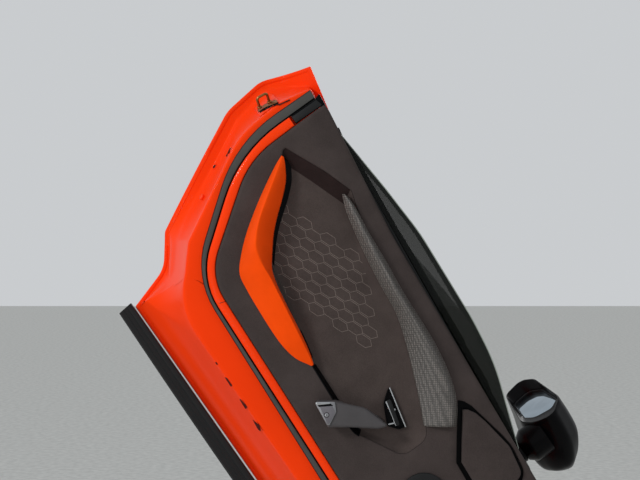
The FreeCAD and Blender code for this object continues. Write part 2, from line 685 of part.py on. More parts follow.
# Hinge: the arm on the door, the bracket, its pin and the strut's anchor on the body
arm_low = size("arm_inner_y")
arm_high = size("arm_outer_y")
strut_r = size("strut_radius")
closed_angle = math.radians(size("stud_closed_angle"))
stud_u = pivot.x + strut_r * math.cos(closed_angle)
stud_v = pivot.z + strut_r * math.sin(closed_angle)
strut_y = size("strut_y")
eye_half = size("eye_thick") / 2
bore_r = size("pin_radius") + size("pin_clearance")
plate_t = size("plate_thick")
lug_r = size("lug_radius")
px = pivot_placed.x
anchor_angle = closed_angle + math.radians(size("strut_open_spread") - open_angle)
anchor_x = px + strut_r * math.cos(anchor_angle)
anchor_z = strut_r * math.sin(anchor_angle)


def hinge_arm():
    """Arm with a flange that follows the door's front shut face"""
    seat = frame_envelope.copy()
    seat.translate(Vector(gap, 0, 0))
    flange_front = frame_envelope.copy()
    flange_front.translate(Vector(gap + 9, 0, 0))
    flange = slab([(900, 292, 12), (900, 442, 12), (990, 442, 12), (990, 292, 12)], 16, 80).common(flange_front)
    outline = [(pivot.x + 20, pivot.z - 20, 19), (stud_u, stud_v - 12, 11), (stud_u - 12, stud_v, 9), (905, 360, 10),
               (905, 420, 10), (pivot.x + 20, pivot.z + 20, 19)]
    arm = slab(outline, arm_low, arm_high)
    arm = arm.fuse(flange).cut(seat)
    arm = arm.fuse(disc((stud_u, stud_v), 9, strut_y + eye_half + gap, arm_low + 1))
    return arm.cut(disc((pivot.x, pivot.z), bore_r, 0, 200))


add("hinge_arm", hinge_arm())

# Bracket: a plate with two lugs round the arm, bored for the pin and drilled for its bolts
here = FreeCAD.Placement()
BRACKET = [(-58, -60, 14), (-58, 50, 14), (58, 50, 14), (58, -50, 14), (10, -112, 24), (-46, -112, 20)]
LUG = [(px - lug_r, -lug_r, lug_r - 1), (px - lug_r, lug_r, lug_r - 1), (-6, 40, 8), (-6, -40, 8)]
THROAT = [(px - 60, -80, 0), (px - 60, 80, 0), (px + 27, 80, 0), (px + 27, -80, 0)]
bracket = new_body("hinge_bracket", here)
pad(bracket, "Plate", "Sizes.plate_thick", "Sizes.plate_thick", BRACKET)
lug_face = "Sizes.arm_outer_y + Sizes.seat_gap + Sizes.lug_thick"
pad(bracket, "Lugs", lug_face, lug_face + " - Sizes.plate_thick + 1", LUG)
doc.recompute()
uncut = bracket.Shape.Volume
pocket(bracket, "Throat", "Sizes.arm_outer_y + Sizes.seat_gap",
       "Sizes.arm_outer_y - Sizes.arm_inner_y + 2 * Sizes.seat_gap", THROAT)
pocket(bracket, "Relief", "Sizes.arm_inner_y - Sizes.seat_gap - Sizes.lug_thick",
       "Sizes.arm_inner_y - Sizes.seat_gap - Sizes.lug_thick", THROAT)
doc.recompute()
if bracket.Shape.Volume > uncut - 10000:
    raise ValueError("the bracket's throat cut nothing")


def bore(body, name, depth, length, spots, radius):
    """Round holes cut inboard from a depth, their radius bound to the sheet"""
    sketch = body.newObject("Sketcher::SketchObject", name + "Circles")
    for plane in body.Origin.OriginFeatures:
        if plane.Role == "XZ_Plane":
            sketch.AttachmentSupport = [(plane, "")]
    sketch.MapMode = "FlatFace"
    sketch.setExpression("AttachmentOffset.Base.z", "-(" + depth + ")")
    for number, (across, up) in enumerate(spots):
        circle = sketch.addGeometry(Part.Circle(Vector(across, up, 0), Vector(0, 0, 1), 5), False)
        rule = sketch.addConstraint(Sketcher.Constraint("Radius", circle, 5))
        sketch.renameConstraint(rule, "radius%d" % number)
        sketch.setExpression("Constraints.radius%d" % number, radius)
    feature = body.newObject("PartDesign::Pocket", name)
    feature.Profile = sketch
    feature.setExpression("Length", length)
    feature.Reversed = True


half_x = size("bolt_span_x") / 2
half_z = size("bolt_span_z") / 2
bolts = [(-half_x, -half_z), (-half_x, half_z), (half_x, half_z), (half_x, -half_z)]
bore(bracket, "PinBore", lug_face + " + 1", lug_face + " + 2", [(px, 0)], "Sizes.pin_radius")
bore(bracket, "BoltHoles", "Sizes.plate_thick + 1", "Sizes.plate_thick + 2", bolts, "Sizes.bolt_hole_radius")
bore(bracket, "BoltSeats", lug_face, lug_face + " - Sizes.plate_thick", bolts, "Sizes.bolt_seat_radius")

# Hinge pin: a shaft with a head and a snap ring
pin_low = "Sizes.arm_inner_y - Sizes.seat_gap - Sizes.lug_thick - 1"
pin_high = "Sizes.arm_outer_y + Sizes.seat_gap + Sizes.lug_thick + 1"
shaft = bar("PinShaft", "Sizes.pin_radius - 0.02", pin_low, pin_high + " + 4")
head = bar("PinHead", "Sizes.pin_head_radius", pin_low + " - 4", pin_low + " + 1 - Sizes.seat_gap")
clip = bar("PinClip", "Sizes.pin_head_radius - 1", pin_high + " - 1 + Sizes.seat_gap", pin_high + " + 3")
keep(fuse("HingePin", [shaft, head, clip]), "hinge_pin", FreeCAD.Placement(pivot_placed, FreeCAD.Rotation()))

# Anchor of the gas strut on the bracket
anchor_low = "Sizes.plate_thick + Sizes.seat_gap"
eye_low = "Sizes.strut_y - Sizes.eye_thick / 2 - Sizes.seat_gap"
eye_high = "Sizes.strut_y + Sizes.eye_thick / 2"
boss = bar("AnchorBoss", "Sizes.strut_pin_radius * 2", anchor_low, eye_low)
anchor_pin = bar("AnchorPin", "Sizes.strut_pin_radius", anchor_low, eye_high + " + 2")
anchor_head = bar("AnchorHead", "Sizes.strut_pin_radius + 3", eye_high + " + Sizes.seat_gap", eye_high + " + 3")
anchor_place = FreeCAD.Placement(Vector(anchor_x, 0, anchor_z), FreeCAD.Rotation())
keep(fuse("StrutAnchor", [boss, anchor_pin, anchor_head]), "strut_anchor", anchor_place)

# Gas strut between the anchor and the door's stud
stud_placed = door_place.multVec(Vector(stud_u, 0, stud_v))
strut_line = Vector(stud_placed.x - anchor_x, 0, stud_placed.z - anchor_z)
strut_turn = -math.degrees(math.atan2(strut_line.z, strut_line.x))
strut_place = FreeCAD.Placement(Vector(anchor_x, strut_y, anchor_z), FreeCAD.Rotation(Vector(0, 1, 0), strut_turn))
sheet.set("A%d" % row, "strut_length")
sheet.set("B%d" % row, str(strut_line.Length))
sheet.set("C%d" % row, "strut between its two ends, door open, worked out above")
sheet.setAlias("B%d" % row, "strut_length")
doc.recompute()
tube = rod("Tube", "Sizes.tube_radius", "14", "Sizes.tube_length - 14")
tube_eye = bar("TubeEye", "Sizes.eye_radius", "-Sizes.eye_thick / 2", "Sizes.eye_thick / 2")
tube_neck = rod("TubeNeck", "Sizes.eye_thick / 2", "2", "18")
gas_room = rod("GasRoom", "Sizes.tube_radius - Sizes.tube_wall", "24", "Sizes.tube_length - 34")
guide = rod("RodGuide", "Sizes.rod_radius + Sizes.pin_clearance", "Sizes.tube_length - 20", "40")
tube_hole = bar("TubeHole", "Sizes.strut_pin_radius + Sizes.pin_clearance", "-20", "20")
tube_body = fuse("TubeBody", [tube, tube_eye, tube_neck])
keep(cut("HollowTube", tube_body, fuse("TubeRoom", [gas_room, guide, tube_hole])), "strut_tube", strut_place)
piston = rod("Piston", "Sizes.tube_radius - Sizes.tube_wall - 0.5", "Sizes.tube_length - 24", "6")
rod_shaft = rod("RodShaft", "Sizes.rod_radius", "Sizes.tube_length - 19", "Sizes.strut_length - Sizes.tube_length + 13")
rod_neck = rod("RodNeck", "Sizes.eye_thick / 2 - 0.5", "Sizes.strut_length - 20", "14")
rod_eye = bar("RodEye", "Sizes.eye_radius", "-Sizes.eye_thick / 2", "Sizes.eye_thick / 2")
rod_eye.setExpression("Placement.Base.x", "Sizes.strut_length")
keep(fuse("StrutRod", [piston, rod_shaft, rod_neck, rod_eye]), "strut_rod", strut_place)

doc.recompute()
os.makedirs("parts", exist_ok=True)
for piece in doc.Objects:
    if "Invalid" in piece.State or "Error" in piece.State:
        raise ValueError("not built: " + piece.Label)
for piece in pieces:
    if piece.Shape.isNull() or not piece.Shape.isValid():
        raise ValueError("bad solid: " + piece.Label)
for piece in pieces:
    piece.Shape.exportStep("parts/" + piece.Label + ".step")
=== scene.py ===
# Studio scene of a raised scissor door: paint, suede, leather, seals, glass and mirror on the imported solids.
# Pieces are drawn in the closed door's millimetres, u forward, v up and y outboard, and turned up with it.
import json
import math

import bmesh
import bpy
import numpy as np
from bpy.props import FloatProperty, FloatVectorProperty, PointerProperty
from mathutils import Matrix, Vector
from mathutils.geometry import delaunay_2d_cdt


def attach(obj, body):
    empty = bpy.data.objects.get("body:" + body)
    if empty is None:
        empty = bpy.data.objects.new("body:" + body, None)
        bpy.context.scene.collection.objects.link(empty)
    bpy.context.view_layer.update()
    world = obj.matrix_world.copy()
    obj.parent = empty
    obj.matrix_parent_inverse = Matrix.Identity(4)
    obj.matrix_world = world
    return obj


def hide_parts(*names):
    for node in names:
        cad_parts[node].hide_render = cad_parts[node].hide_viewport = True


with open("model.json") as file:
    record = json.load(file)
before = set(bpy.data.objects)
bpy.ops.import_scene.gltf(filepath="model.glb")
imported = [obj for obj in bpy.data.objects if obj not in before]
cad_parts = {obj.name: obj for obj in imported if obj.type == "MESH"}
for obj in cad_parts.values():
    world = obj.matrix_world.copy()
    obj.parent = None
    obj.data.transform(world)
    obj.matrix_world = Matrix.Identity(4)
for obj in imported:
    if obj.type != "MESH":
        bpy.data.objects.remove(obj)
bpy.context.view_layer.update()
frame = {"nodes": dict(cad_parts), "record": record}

bl_info = {
    "name": "Raised Scissor Door",
    "version": (1, 0, 0),
    "blender": (4, 5, 0),
    "location": "3D View > Sidebar > Scissor Door",
    "description": "Finishes a raised scissor door with paint, leather, seals, glass and mirror",
    "category": "Object",
}

MM = 0.001
# Width in pixels of the picture that the camera is matched to
PICTURE_WIDTH = 640


def linear(hex_colour):
    """Linear colour, with alpha, of an sRGB hex value"""
    parts = []
    for start in (1, 3, 5):
        value = int(hex_colour[start:start + 2], 16) / 255
        parts.append(value / 12.92 if value <= 0.04045 else ((value + 0.055) / 1.055) ** 2.4)
    return (*parts, 1.0)


def metres(name, description, value, **settings):
    return FloatProperty(name=name, description=description, default=value, unit="LENGTH", **settings)


def colour(name, description, hex_colour):
    return FloatVectorProperty(name=name, description=description, subtype="COLOR", size=4, min=0, max=1,
                               default=linear(hex_colour))


# Sizes and colours that a user may change
class DoorPlace(bpy.types.PropertyGroup):
    """Where the door stands, how it is seen and how it is lit"""

    open_angle: FloatProperty(name="Open angle", description="How far the door is raised",
                              default=math.radians(55), unit="ROTATION")
    pivot_u: metres("Hinge ahead", "Hinge axis ahead of the sill's rear end", 1.010)
    pivot_v: metres("Hinge height", "Hinge axis above the sill", 0.400)
    pivot_x: metres("Hinge offset", "Hinge axis from the bracket's bolt pattern", -0.090)
    camera_distance: metres("Camera distance", "Camera to the seal plane", 3.0)
    pixel_size: metres("Picture scale", "Size of a pixel at the seal plane", 0.00205, precision=5)
    camera_x: metres("Camera along", "Camera from the hinge axis, along the car", -0.5145)
    camera_z: metres("Camera height", "Camera above the hinge axis", 0.7396)
    floor_drop: metres("Floor", "Floor below the bracket", 0.75)


class DoorColours(bpy.types.PropertyGroup):
    """Colours of the door's finishes"""

    paint: colour("Paint", "Orange body paint", "#FF4010")
    leather: colour("Leather", "Leather of the armrest", "#FF500E")
    suede: colour("Suede", "Dark suede of the door's trim", "#453D3B")
    insert: colour("Insert", "Suede of the recessed insert", "#4A413E")
    thread: colour("Lines", "Hexagon lines on the insert", "#80736C")
    seal: colour("Seal", "Grey face of the weatherstrip", "#4B4A47")
    rubber: colour("Rubber", "Black rubber", "#131415")
    moulding: colour("Moulding", "Grained moulding on the rail", "#625D59")
    gloss: colour("Gloss", "Gloss black plastic", "#08080A")
    cap: colour("Cap", "Satin silver cap of the grab handle", "#8E8E91")
    glass: colour("Glass", "Tint of the window", "#0C100B")
    floor: colour("Floor", "Studio floor", "#D6D6D2")


def place():
    return bpy.context.scene.door_place


def tint(name):
    return tuple(getattr(bpy.context.scene.door_colours, name))


# Outlines in the closed door's side view: u, v and corner radius, clockwise from the lower rear corner
HEM = [(0, 0, 6), (-32, 94, 70), (-95, 142, 22), (-225, 398, 90), (-238, 492, 60),
       (-199, 594, 3), (20, 546, 900), (900, 470, 70), (985, 360, 110), (985, 0, 40)]
FLANGE = [(14, 38, 30), (-2, 100, 60), (-62, 152, 30), (-196, 404, 50), (-209, 486, 50),
          (-172, 572, 8), (24, 529, 600), (880, 454, 60), (955, 350, 90), (955, 38, 40)]
PLATEAU = [(60, 85, 160), (8, 136.5, 200), (-42, 180, 40), (-160, 386, 200), (-168, 500, 60),
           (-156, 566, 8), (24, 527, 500), (868, 450, 50), (930, 340, 80), (930, 80, 50)]
# Outer edge of the seal, the line that it shares with the accent strip, and the accent strip's inner edge
SEAL = [(21.5, 148, 176), (-155, 377, 290), (-153, 700, 5), (720, 700, 5), (905, 330, 80), (905, 102, 70)]
ACCENT = [(34.5, 157, 147), (-131, 371, 290), (-134, 700, 5), (716, 700, 5), (880, 320, 70), (880, 123, 50)]
ACCENT_INNER = [(40.5, 176.7, 114), (-107, 377.6, 192), (-117.9, 700, 5), (694.5, 700, 5), (862, 318, 60),
                (862, 140.7, 40)]
# Sections of the outer skin: u, then v and y of its belt, shoulder, scallop, hip and sill
SECTIONS = [(-260, 612, 52, 505, 98, 330, 84, 150, 104, -20, 98),
            (60, 547, 50, 452, 128, 300, 104, 120, 138, -20, 106),
            (380, 519, 50, 425, 146, 280, 132, 110, 150, -20, 108),
            (700, 491, 48, 405, 146, 262, 146, 105, 148, -20, 104),
            (1010, 464, 40, 390, 122, 250, 128, 100, 124, -20, 92)]

SEAL_HEIGHT = 12
ACCENT_HEIGHT = 16
FLANGE_DEPTH = 80
SKIN_THICK = 3
FRAME_THICK = 3
GAP = 0.3
TRIM_HEIGHT = 22
RAIL_HEIGHT = 27
BELT_HEIGHT = 11
INSERT_HEIGHT = 5
POD_FLOOR = 8
POD_HEIGHT = 26

# The trim's outline: along the accent strip below, and along the belt above
TRIM_EDGE = [(41, 177, 114), (-106.5, 377.6, 192), (-113, 570, 5), (-96, 569.5, 40), (190, 529, 900),
             (790, 482, 12), (861.7, 315, 60), (861.7, 141, 40)]
# The hollow in the trim at its edge, and the flat floor that its walls run down to
RECESS = [(305, 246, 12), (60, 300, 150), (-84, 446, 6), (-84, 453, 3), (5, 493, 200), (64, 513, 10),
          (190, 472, 300), (330, 452, 200), (566, 352, 30), (568, 290, 30), (470, 236, 40)]
FLOOR = [(312, 250, 12), (62, 304, 150), (-64, 430, 6), (-36, 443, 3), (5, 459, 200), (80, 486, 10),
         (174, 453, 300), (323, 403, 200), (538, 324, 14), (540, 292, 20), (466, 244, 34)]
# Sides of the recess that are the sloped ledge, whose suede is darkened as painted shade, and its lower edge,
# which has a gloss strip
LEDGE_SIDES = (2, 3, 4)
GLOSS_SIDE = 10
# Pod panel at the front of the rail, and the groove round it
POD = [(646, 379, 6), (558.5, 442.4, 2), (564.6, 451, 8), (580, 460.3, 12), (605.6, 467, 40),
       (675, 477.8, 40), (735, 467, 20), (750, 415, 20), (724, 374, 10)]
POD_GROOVE = [(640, 370, 6), (536, 445.3, 2), (545.6, 454.3, 10), (562.8, 462.1, 30), (651, 479.5, 100),
              (676, 482.3, 60), (742, 472, 30), (762, 413, 30), (730, 362, 20)]
# Flush handle in the outer skin
FLAP = [(-70, 452, 6), (-74, 476, 6), (96, 461, 6), (94, 438, 6)]
FLAP_GROOVE = 1.5
# Points for the turn at each corner of an outline, and for each side after it
TURN_STEPS = 8
SIDE_STEPS = 14


# Outline geometry
def inset(corners, distance):
    """Outline moved inwards by a distance"""
    count = len(corners)
    sides = []
    for i in range(count):
        a = corners[i]
        b = corners[(i + 1) % count]
        length = math.hypot(b[0] - a[0], b[1] - a[1])
        du = (b[0] - a[0]) / length
        dv = (b[1] - a[1]) / length
        sides.append((a[0] + dv * distance, a[1] - du * distance, du, dv))
    moved = []
    for i in range(count):
        u1, v1, du1, dv1 = sides[i - 1]
        u2, v2, du2, dv2 = sides[i]
        cross = du1 * dv2 - dv1 * du2
        along = ((u2 - u1) * dv2 - (v2 - v1) * du2) / cross
        turn = distance if cross > 0 else -distance
        moved.append((u1 + du1 * along, v1 + dv1 * along, max(corners[i][2] + turn, 0.5)))
    return moved


def between(corners, others, share):
    """Outline part of the way from one to another with as many corners"""
    return [tuple(a + (b - a) * share for a, b in zip(one, other)) for one, other in zip(corners, others)]


def outline(corners, side_steps=SIDE_STEPS):
    """Points (u, v) round an outline, as many for each corner and side"""
    count = len(corners)
    turns = []
    for i in range(count):
        here = Vector(corners[i][:2])
        back = (Vector(corners[i - 1][:2]) - here).normalized()
        ahead = (Vector(corners[(i + 1) % count][:2]) - here).normalized()
        radius = corners[i][2]
        half = back.angle(ahead) / 2
        reach = radius / math.tan(half)
        centre = here + (back + ahead).normalized() * (radius / math.sin(half))
        turns.append((here + back * reach, centre, here + ahead * reach))
    points = []
    for i in range(count):
        start, centre, end = turns[i]
        first = start - centre
        last = end - centre
        sweep = math.atan2(first.x * last.y - first.y * last.x, first.dot(last))
        for k in range(TURN_STEPS + 1):
            angle = sweep * k / TURN_STEPS
            points.append((centre.x + first.x * math.cos(angle) - first.y * math.sin(angle),
                           centre.y + first.x * math.sin(angle) + first.y * math.cos(angle)))
        onward = turns[(i + 1) % count][0]
        for k in range(1, side_steps):
            spot = end.lerp(onward, k / side_steps)
            points.append((spot.x, spot.y))
    return points


def ring(corners, height, across=0):
    """Points (u, v, y) round an outline moved inwards, at a height or at one worked out from u and v"""
    at = height if callable(height) else lambda u, v: height
    return [(u, v, at(u, v)) for u, v in outline(inset(corners, across) if across else corners)]


def smooth_rows(table, steps):
    """Rows along a smooth curve through the rows of a table"""
    rows = []
    last = len(table) - 1
    for i in range(last):
        p0 = table[max(i - 1, 0)]
        p1 = table[i]
        p2 = table[i + 1]
        p3 = table[min(i + 2, last)]
        for k in range(steps):
            t = k / steps
            row = [2 * b + (c - a) * t + (2 * a - 5 * b + 4 * c - d) * t * t
                   + (3 * b - a - 3 * c + d) * t ** 3 for a, b, c, d in zip(p0, p1, p2, p3)]
            rows.append(tuple(value / 2 for value in row))
    rows.append(tuple(table[last]))
    return rows


def inside(loops, points):
    """Which points lie inside the loops, an inner loop being a hole"""
    held = np.zeros(len(points), bool)
    for loop in loops:
        loop = np.array(loop)[:, :2]
        for (u1, v1), (u2, v2) in zip(loop, np.roll(loop, -1, 0)):
            if v1 == v2:
                continue
            spans = (points[:, 1] >= min(v1, v2)) & (points[:, 1] < max(v1, v2))
            held ^= spans & (points[:, 0] < u1 + (points[:, 1] - v1) * (u2 - u1) / (v2 - v1))
    return held


def clear_of(loops, points, distance):
    """Which points are further than a distance from every side of the loops"""
    clear = np.ones(len(points), bool)
    for loop in loops:
        loop = np.array(loop)[:, :2]
        for a, b in zip(loop, np.roll(loop, -1, 0)):
            side = b - a
            share = np.clip(((points - a) @ side) / max(side @ side, 1e-9), 0, 1)
            clear &= np.hypot(*(points - a - share[:, None] * side).T) > distance
    return clear


# The outer skin's surface
def skin_section(u):
    """Section sizes at u, on one smooth curve through the five sections"""
    values = [0.0] * 10
    for i, section in enumerate(SECTIONS):
        weight = 1.0
        for k, other in enumerate(SECTIONS):
            if k != i:
                weight *= (u - other[0]) / (section[0] - other[0])
        for n in range(10):
            values[n] += weight * section[n + 1]
    return values


def arc_depth(a, b, c, v):
    """Depth at height v of the arc through three points (v, y)"""
    d = 2 * (a[0] * (b[1] - c[1]) + b[0] * (c[1] - a[1]) + c[0] * (a[1] - b[1]))
    squares = [p[0] ** 2 + p[1] ** 2 for p in (a, b, c)]
    centre_v = (squares[0] * (b[1] - c[1]) + squares[1] * (c[1] - a[1]) + squares[2] * (a[1] - b[1])) / d
    centre_y = (squares[0] * (c[0] - b[0]) + squares[1] * (a[0] - c[0]) + squares[2] * (b[0] - a[0])) / d
    radius = math.hypot(a[0] - centre_v, a[1] - centre_y)
    rise = math.sqrt(max(radius ** 2 - (v - centre_v) ** 2, 0))
    return centre_y + rise if b[1] > centre_y else centre_y - rise


def bulge(a, b, rise):
    """Middle of an arc that rises from its chord, as (v, y)"""
    share = rise / math.hypot(b[0] - a[0], b[1] - a[1])
    return ((a[0] + b[0]) / 2 + (b[1] - a[1]) * share, (a[1] + b[1]) / 2 - (b[0] - a[0]) * share)


def skin_y(u, v):
    """Depth of the outer skin's face"""
    belt_v, belt_y, top_v, top_y, mid_v, mid_y, hip_v, hip_y, sill_v, sill_y = skin_section(u)
    belt, shoulder, scallop = (belt_v, belt_y), (top_v, top_y), (mid_v, mid_y)
    hip, sill = (hip_v, hip_y), (sill_v, sill_y)
    if v >= top_v:
        return arc_depth(belt, bulge(belt, shoulder, 12), shoulder, min(v, belt_v + 4))
    if v >= hip_v:
        return arc_depth(shoulder, scallop, hip, v)
    return arc_depth(hip, bulge(hip, sill, 6), sill, v)


def under_skin(depth):
    """A depth that stays inboard of the skin's back and of the frame's own metal"""
    return lambda u, v: min(depth, skin_y(u, v) - SKIN_THICK - FRAME_THICK - 2 * GAP)


def off_skin(distance_in):
    """A depth at a distance inboard of the skin's face"""
    return lambda u, v: skin_y(u, v) - distance_in


# Step along y for a step square to the shut face, which leans
SHUT_SLOPE = 2.2
# Rows of the pressed frame: share of the way from flange to plateau, and depth as a share of the flange's
FRAME_ROWS = ((-0.3, 1.2), (-0.1, 1.1), (0.08, 0.98), (0.25, 0.82), (0.42, 0.65), (0.58, 0.48), (0.72, 0.32),
              (0.84, 0.17), (0.94, 0.055), (1.0, 0.01))


def shut_share(u, v):
    """How far a point lies from the flange to the plateau"""
    start = np.array(outline(FLANGE))
    across = np.array(outline(PLATEAU)) - start
    share = np.clip(np.sum((np.array((u, v)) - start) * across, 1) / np.sum(across * across, 1), -0.3, 1.0)
    off = np.hypot(*(np.array((u, v)) - start - share[:, None] * across).T)
    return float(share[np.argmin(off)])


def shut_y(off):
    """Depth at a distance off the straight shut face"""
    return lambda u, v: (1 - shut_share(u, v)) * FLANGE_DEPTH - off * SHUT_SLOPE


def pressed_y(off):
    """Depth at a distance off the pressed frame's curved face"""
    shares, depths = zip(*FRAME_ROWS)
    return lambda u, v: float(np.interp(shut_share(u, v), shares, depths)) * FLANGE_DEPTH - off * SHUT_SLOPE


# Mesh building
# Distance between the rows of a grid of triangles, and its clear margin, as shares of its spacing
GRID_ROWS = 0.866
GRID_MARGIN = 0.5
# Points nearer than this become one
MERGE_WITHIN = 0.00002


def circle(centre, side, other, radius, steps):
    """Points round a circle in the plane of two directions"""
    turns = np.linspace(0, 2 * math.pi, steps, endpoint=False)
    return [tuple(centre + (side * math.cos(turn) + other * math.sin(turn)) * radius) for turn in turns]


class Sheet:
    """Points of the closed door in millimetres, and faces whose kind is their finish's place in a list"""

    def __init__(self):
        self.points = []
        self.faces = []
        self.kinds = []

    def row(self, points):
        first = len(self.points)
        self.points.extend(points)
        return list(range(first, len(self.points)))

    def strip(self, row, following, closed=True, kind=0):
        """Faces between two rows, all of one kind or of a kind for each side of the outline"""
        count = len(row)
        for i in range(count if closed else count - 1):
            j = (i + 1) % count
            self.faces.append((row[i], row[j], following[j], following[i]))
            self.kinds.append(kind.get(i // (TURN_STEPS + SIDE_STEPS), 0) if isinstance(kind, dict) else kind)

    def rings(self, rows, closed=True, kind=0):
        """Strips between rows of points, and the indices of the first and last"""
        placed = [self.row(row) for row in rows]
        for row, following in zip(placed, placed[1:]):
            self.strip(row, following, closed, kind)
        return placed[0], placed[-1]

    def edge(self, corners, profile, kind=0):
        """Rings round an outline at rows of (distance inwards, height)"""
        return self.rings([ring(corners, height, across) for across, height in profile], kind=kind)

    def solid(self, rows, closed=True, kind=0):
        """Rings with a cap on each end"""
        for row in self.rings(rows, closed, kind):
            self.cap(row, kind)

    def cap(self, row, kind=0):
        self.faces.append(tuple(row))
        self.kinds.append(kind)

    def fill(self, rows, spacing, height, kind=0):
        """Triangles inside rows already placed, on a surface whose height comes from u and v"""
        loops = [[self.points[i][:2] for i in row] for row in rows]
        corners = np.array([p for loop in loops for p in loop])
        low = corners.min(0)
        high = corners.max(0)
        grid = []
        line = 0
        v = low[1]
        while v < high[1]:
            shift = spacing / 2 * (line % 2)
            grid.extend((u + shift, v) for u in np.arange(low[0], high[0], spacing))
            v += spacing * GRID_ROWS
            line += 1
        grid = np.array(grid)
        grid = grid[inside(loops, grid) & clear_of(loops, grid, spacing * GRID_MARGIN)]
        edges = []
        for loop in loops:
            first = sum(len(other) for other in loops[:loops.index(loop)])
            edges.extend((first + i, first + (i + 1) % len(loop)) for i in range(len(loop)))
        flat = [Vector(p) for p in corners] + [Vector(p) for p in grid]
        verts, _, faces, origins, _, _ = delaunay_2d_cdt(flat, edges, [], 0, 1e-4)
        edge_row = [i for row in rows for i in row]
        placed = []
        for vert, origin in zip(verts, origins):
            if origin and origin[0] < len(edge_row):
                placed.append(edge_row[origin[0]])
            else:
                placed.extend(self.row([(vert.x, vert.y, height(vert.x, vert.y))]))
        middles = np.array([[sum(verts[i][n] for i in face) / 3 for n in (0, 1)] for face in faces])
        for face, held in zip(faces, inside(loops, middles)):
            if held:
                self.faces.append(tuple(placed[i] for i in face))
                self.kinds.append(kind)

    def block(self, corners, base, top, edge, kind=0, back=False):
        """Raised pad of an outline with a rounded edge, whose depths may follow a surface"""
        base_y = base if callable(base) else lambda u, v: base
        top_y = top if callable(top) else lambda u, v: top
        outward = 1 if top_y(*corners[0][:2]) < base_y(*corners[0][:2]) else -1

        def level(height, below):
            return lambda u, v: height(u, v) + below * outward
        profile = [(0, level(base_y, -edge if back else 0)), (0, level(top_y, edge)),
                   (edge * 0.3, level(top_y, edge * 0.3)), (edge, top_y)]
        if back:
            profile = [(edge, base_y), (edge * 0.3, level(base_y, -edge * 0.3))] + profile
        first, last = self.edge(corners, profile, kind)
        self.cap(last, kind)
        if back:
            self.cap(first, kind)

    def turned(self, middle, axis, profile, kind=0, steps=32):
        """Surface turned about an axis through a point, from rows of (distance along it, radius)"""
        along = Vector(axis).normalized()
        side = along.orthogonal().normalized()
        self.solid([circle(Vector(middle) + along * reach, side, along.cross(side), radius, steps)
                    for reach, radius in profile], kind=kind)

    def wire(self, path, radius, normal, kind=0, steps=16):
        """Round wire along a path in one plane"""
        normal = normal.normalized()
        rows = []
        for i, here in enumerate(path):
            ahead = (path[min(i + 1, len(path) - 1)] - path[max(i - 1, 0)]).normalized()
            rows.append(circle(here, ahead.cross(normal), normal, radius, steps))
        self.solid(rows, kind=kind)

    def finish(self, name, finishes, body="door", slot=None, sharp=40, subdivide=0, replaced=(), clip=None):
        """The sheet as an object that rides on a body, with its materials, shading and replaced solids"""
        mesh = bpy.data.meshes.new(name)
        mesh.from_pydata([(u * MM, y * MM, v * MM) for u, v, y in self.points], [], self.faces)
        for finish in finishes:
            mesh.materials.append(finish_material(finish))
        mesh.polygons.foreach_set("material_index", self.kinds)
        work = bmesh.new()
        work.from_mesh(mesh)
        bmesh.ops.remove_doubles(work, verts=work.verts, dist=MERGE_WITHIN)
        for point, normal in clip or ():
            parts = [*work.verts, *work.edges, *work.faces]
            cut = bmesh.ops.bisect_plane(work, geom=parts, clear_outer=True, plane_no=normal,
                                         plane_co=[value * MM for value in point])
            edges = [e for e in cut["geom_cut"] if isinstance(e, bmesh.types.BMEdge)]
            bmesh.ops.edgeloop_fill(work, edges=edges)
        bmesh.ops.recalc_face_normals(work, faces=work.faces)
        work.to_mesh(mesh)
        work.free()
        mesh.transform(door_turn())
        mesh.shade_smooth()
        mesh.set_sharp_from_angle(angle=math.radians(sharp))
        piece = bpy.data.objects.new(name, mesh)
        bpy.context.scene.collection.objects.link(piece)
        if subdivide:
            modifier = piece.modifiers.new("subdivision", "SUBSURF")
            modifier.levels = subdivide
            modifier.render_levels = subdivide
        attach(piece, body)
        if replaced:
            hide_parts(*replaced)
        return piece


def door_turn():
    """From the closed door, in metres, to where it stands raised"""
    door = place()
    home = Matrix.Translation((-door.pivot_u, 0, -door.pivot_v))
    return Matrix.Translation((door.pivot_x, 0, 0)) @ Matrix.Rotation(door.open_angle, 4, "Y") @ home


# Names of the real materials, by the finish that the pieces ask for
FINISHES = {}


def finish_material(finish):
    return bpy.data.materials[FINISHES[finish]]


def add_node(material, kind, links=None, inputs=None, **settings):
    """A node with its settings, its input values and the outputs that feed it"""
    node = material.node_tree.nodes.new(kind)
    for name, value in settings.items():
        setattr(node, name, value)
    for socket, value in (inputs or {}).items():
        node.inputs[socket].default_value = value
    for socket, source in (links or {}).items():
        material.node_tree.links.new(source, node.inputs[socket])
    return node


def new_material(finish, real_name, **inputs):
    """A material, its shader and its object coordinates"""
    material = bpy.data.materials.new(real_name)
    FINISHES[finish] = real_name
    material.use_nodes = True
    shader = material.node_tree.nodes["Principled BSDF"]
    for socket, value in inputs.items():
        shader.inputs[socket.replace("_", " ")].default_value = value
    spot = add_node(material, "ShaderNodeTexCoord").outputs["Object"]
    return material, shader, spot


def per_metre(millimetres):
    """Texture scale that gives a pattern of a size in millimetres"""
    return 1 / (millimetres * MM)


def shade_between(material, shader, factor, dark, light, low=0.35, high=0.65):
    """Base colour that runs from one to another as a pattern rises"""
    ramp = add_node(material, "ShaderNodeValToRGB", {"Fac": factor})
    for element, position, shade in zip(ramp.color_ramp.elements, (low, high), (dark, light)):
        element.position = position
        element.color = shade
    material.node_tree.links.new(ramp.outputs["Color"], shader.inputs["Base Color"])


def scaled(base, share):
    """A colour made lighter or darker"""
    return tuple(part * share for part in base[:3]) + (1.0,)


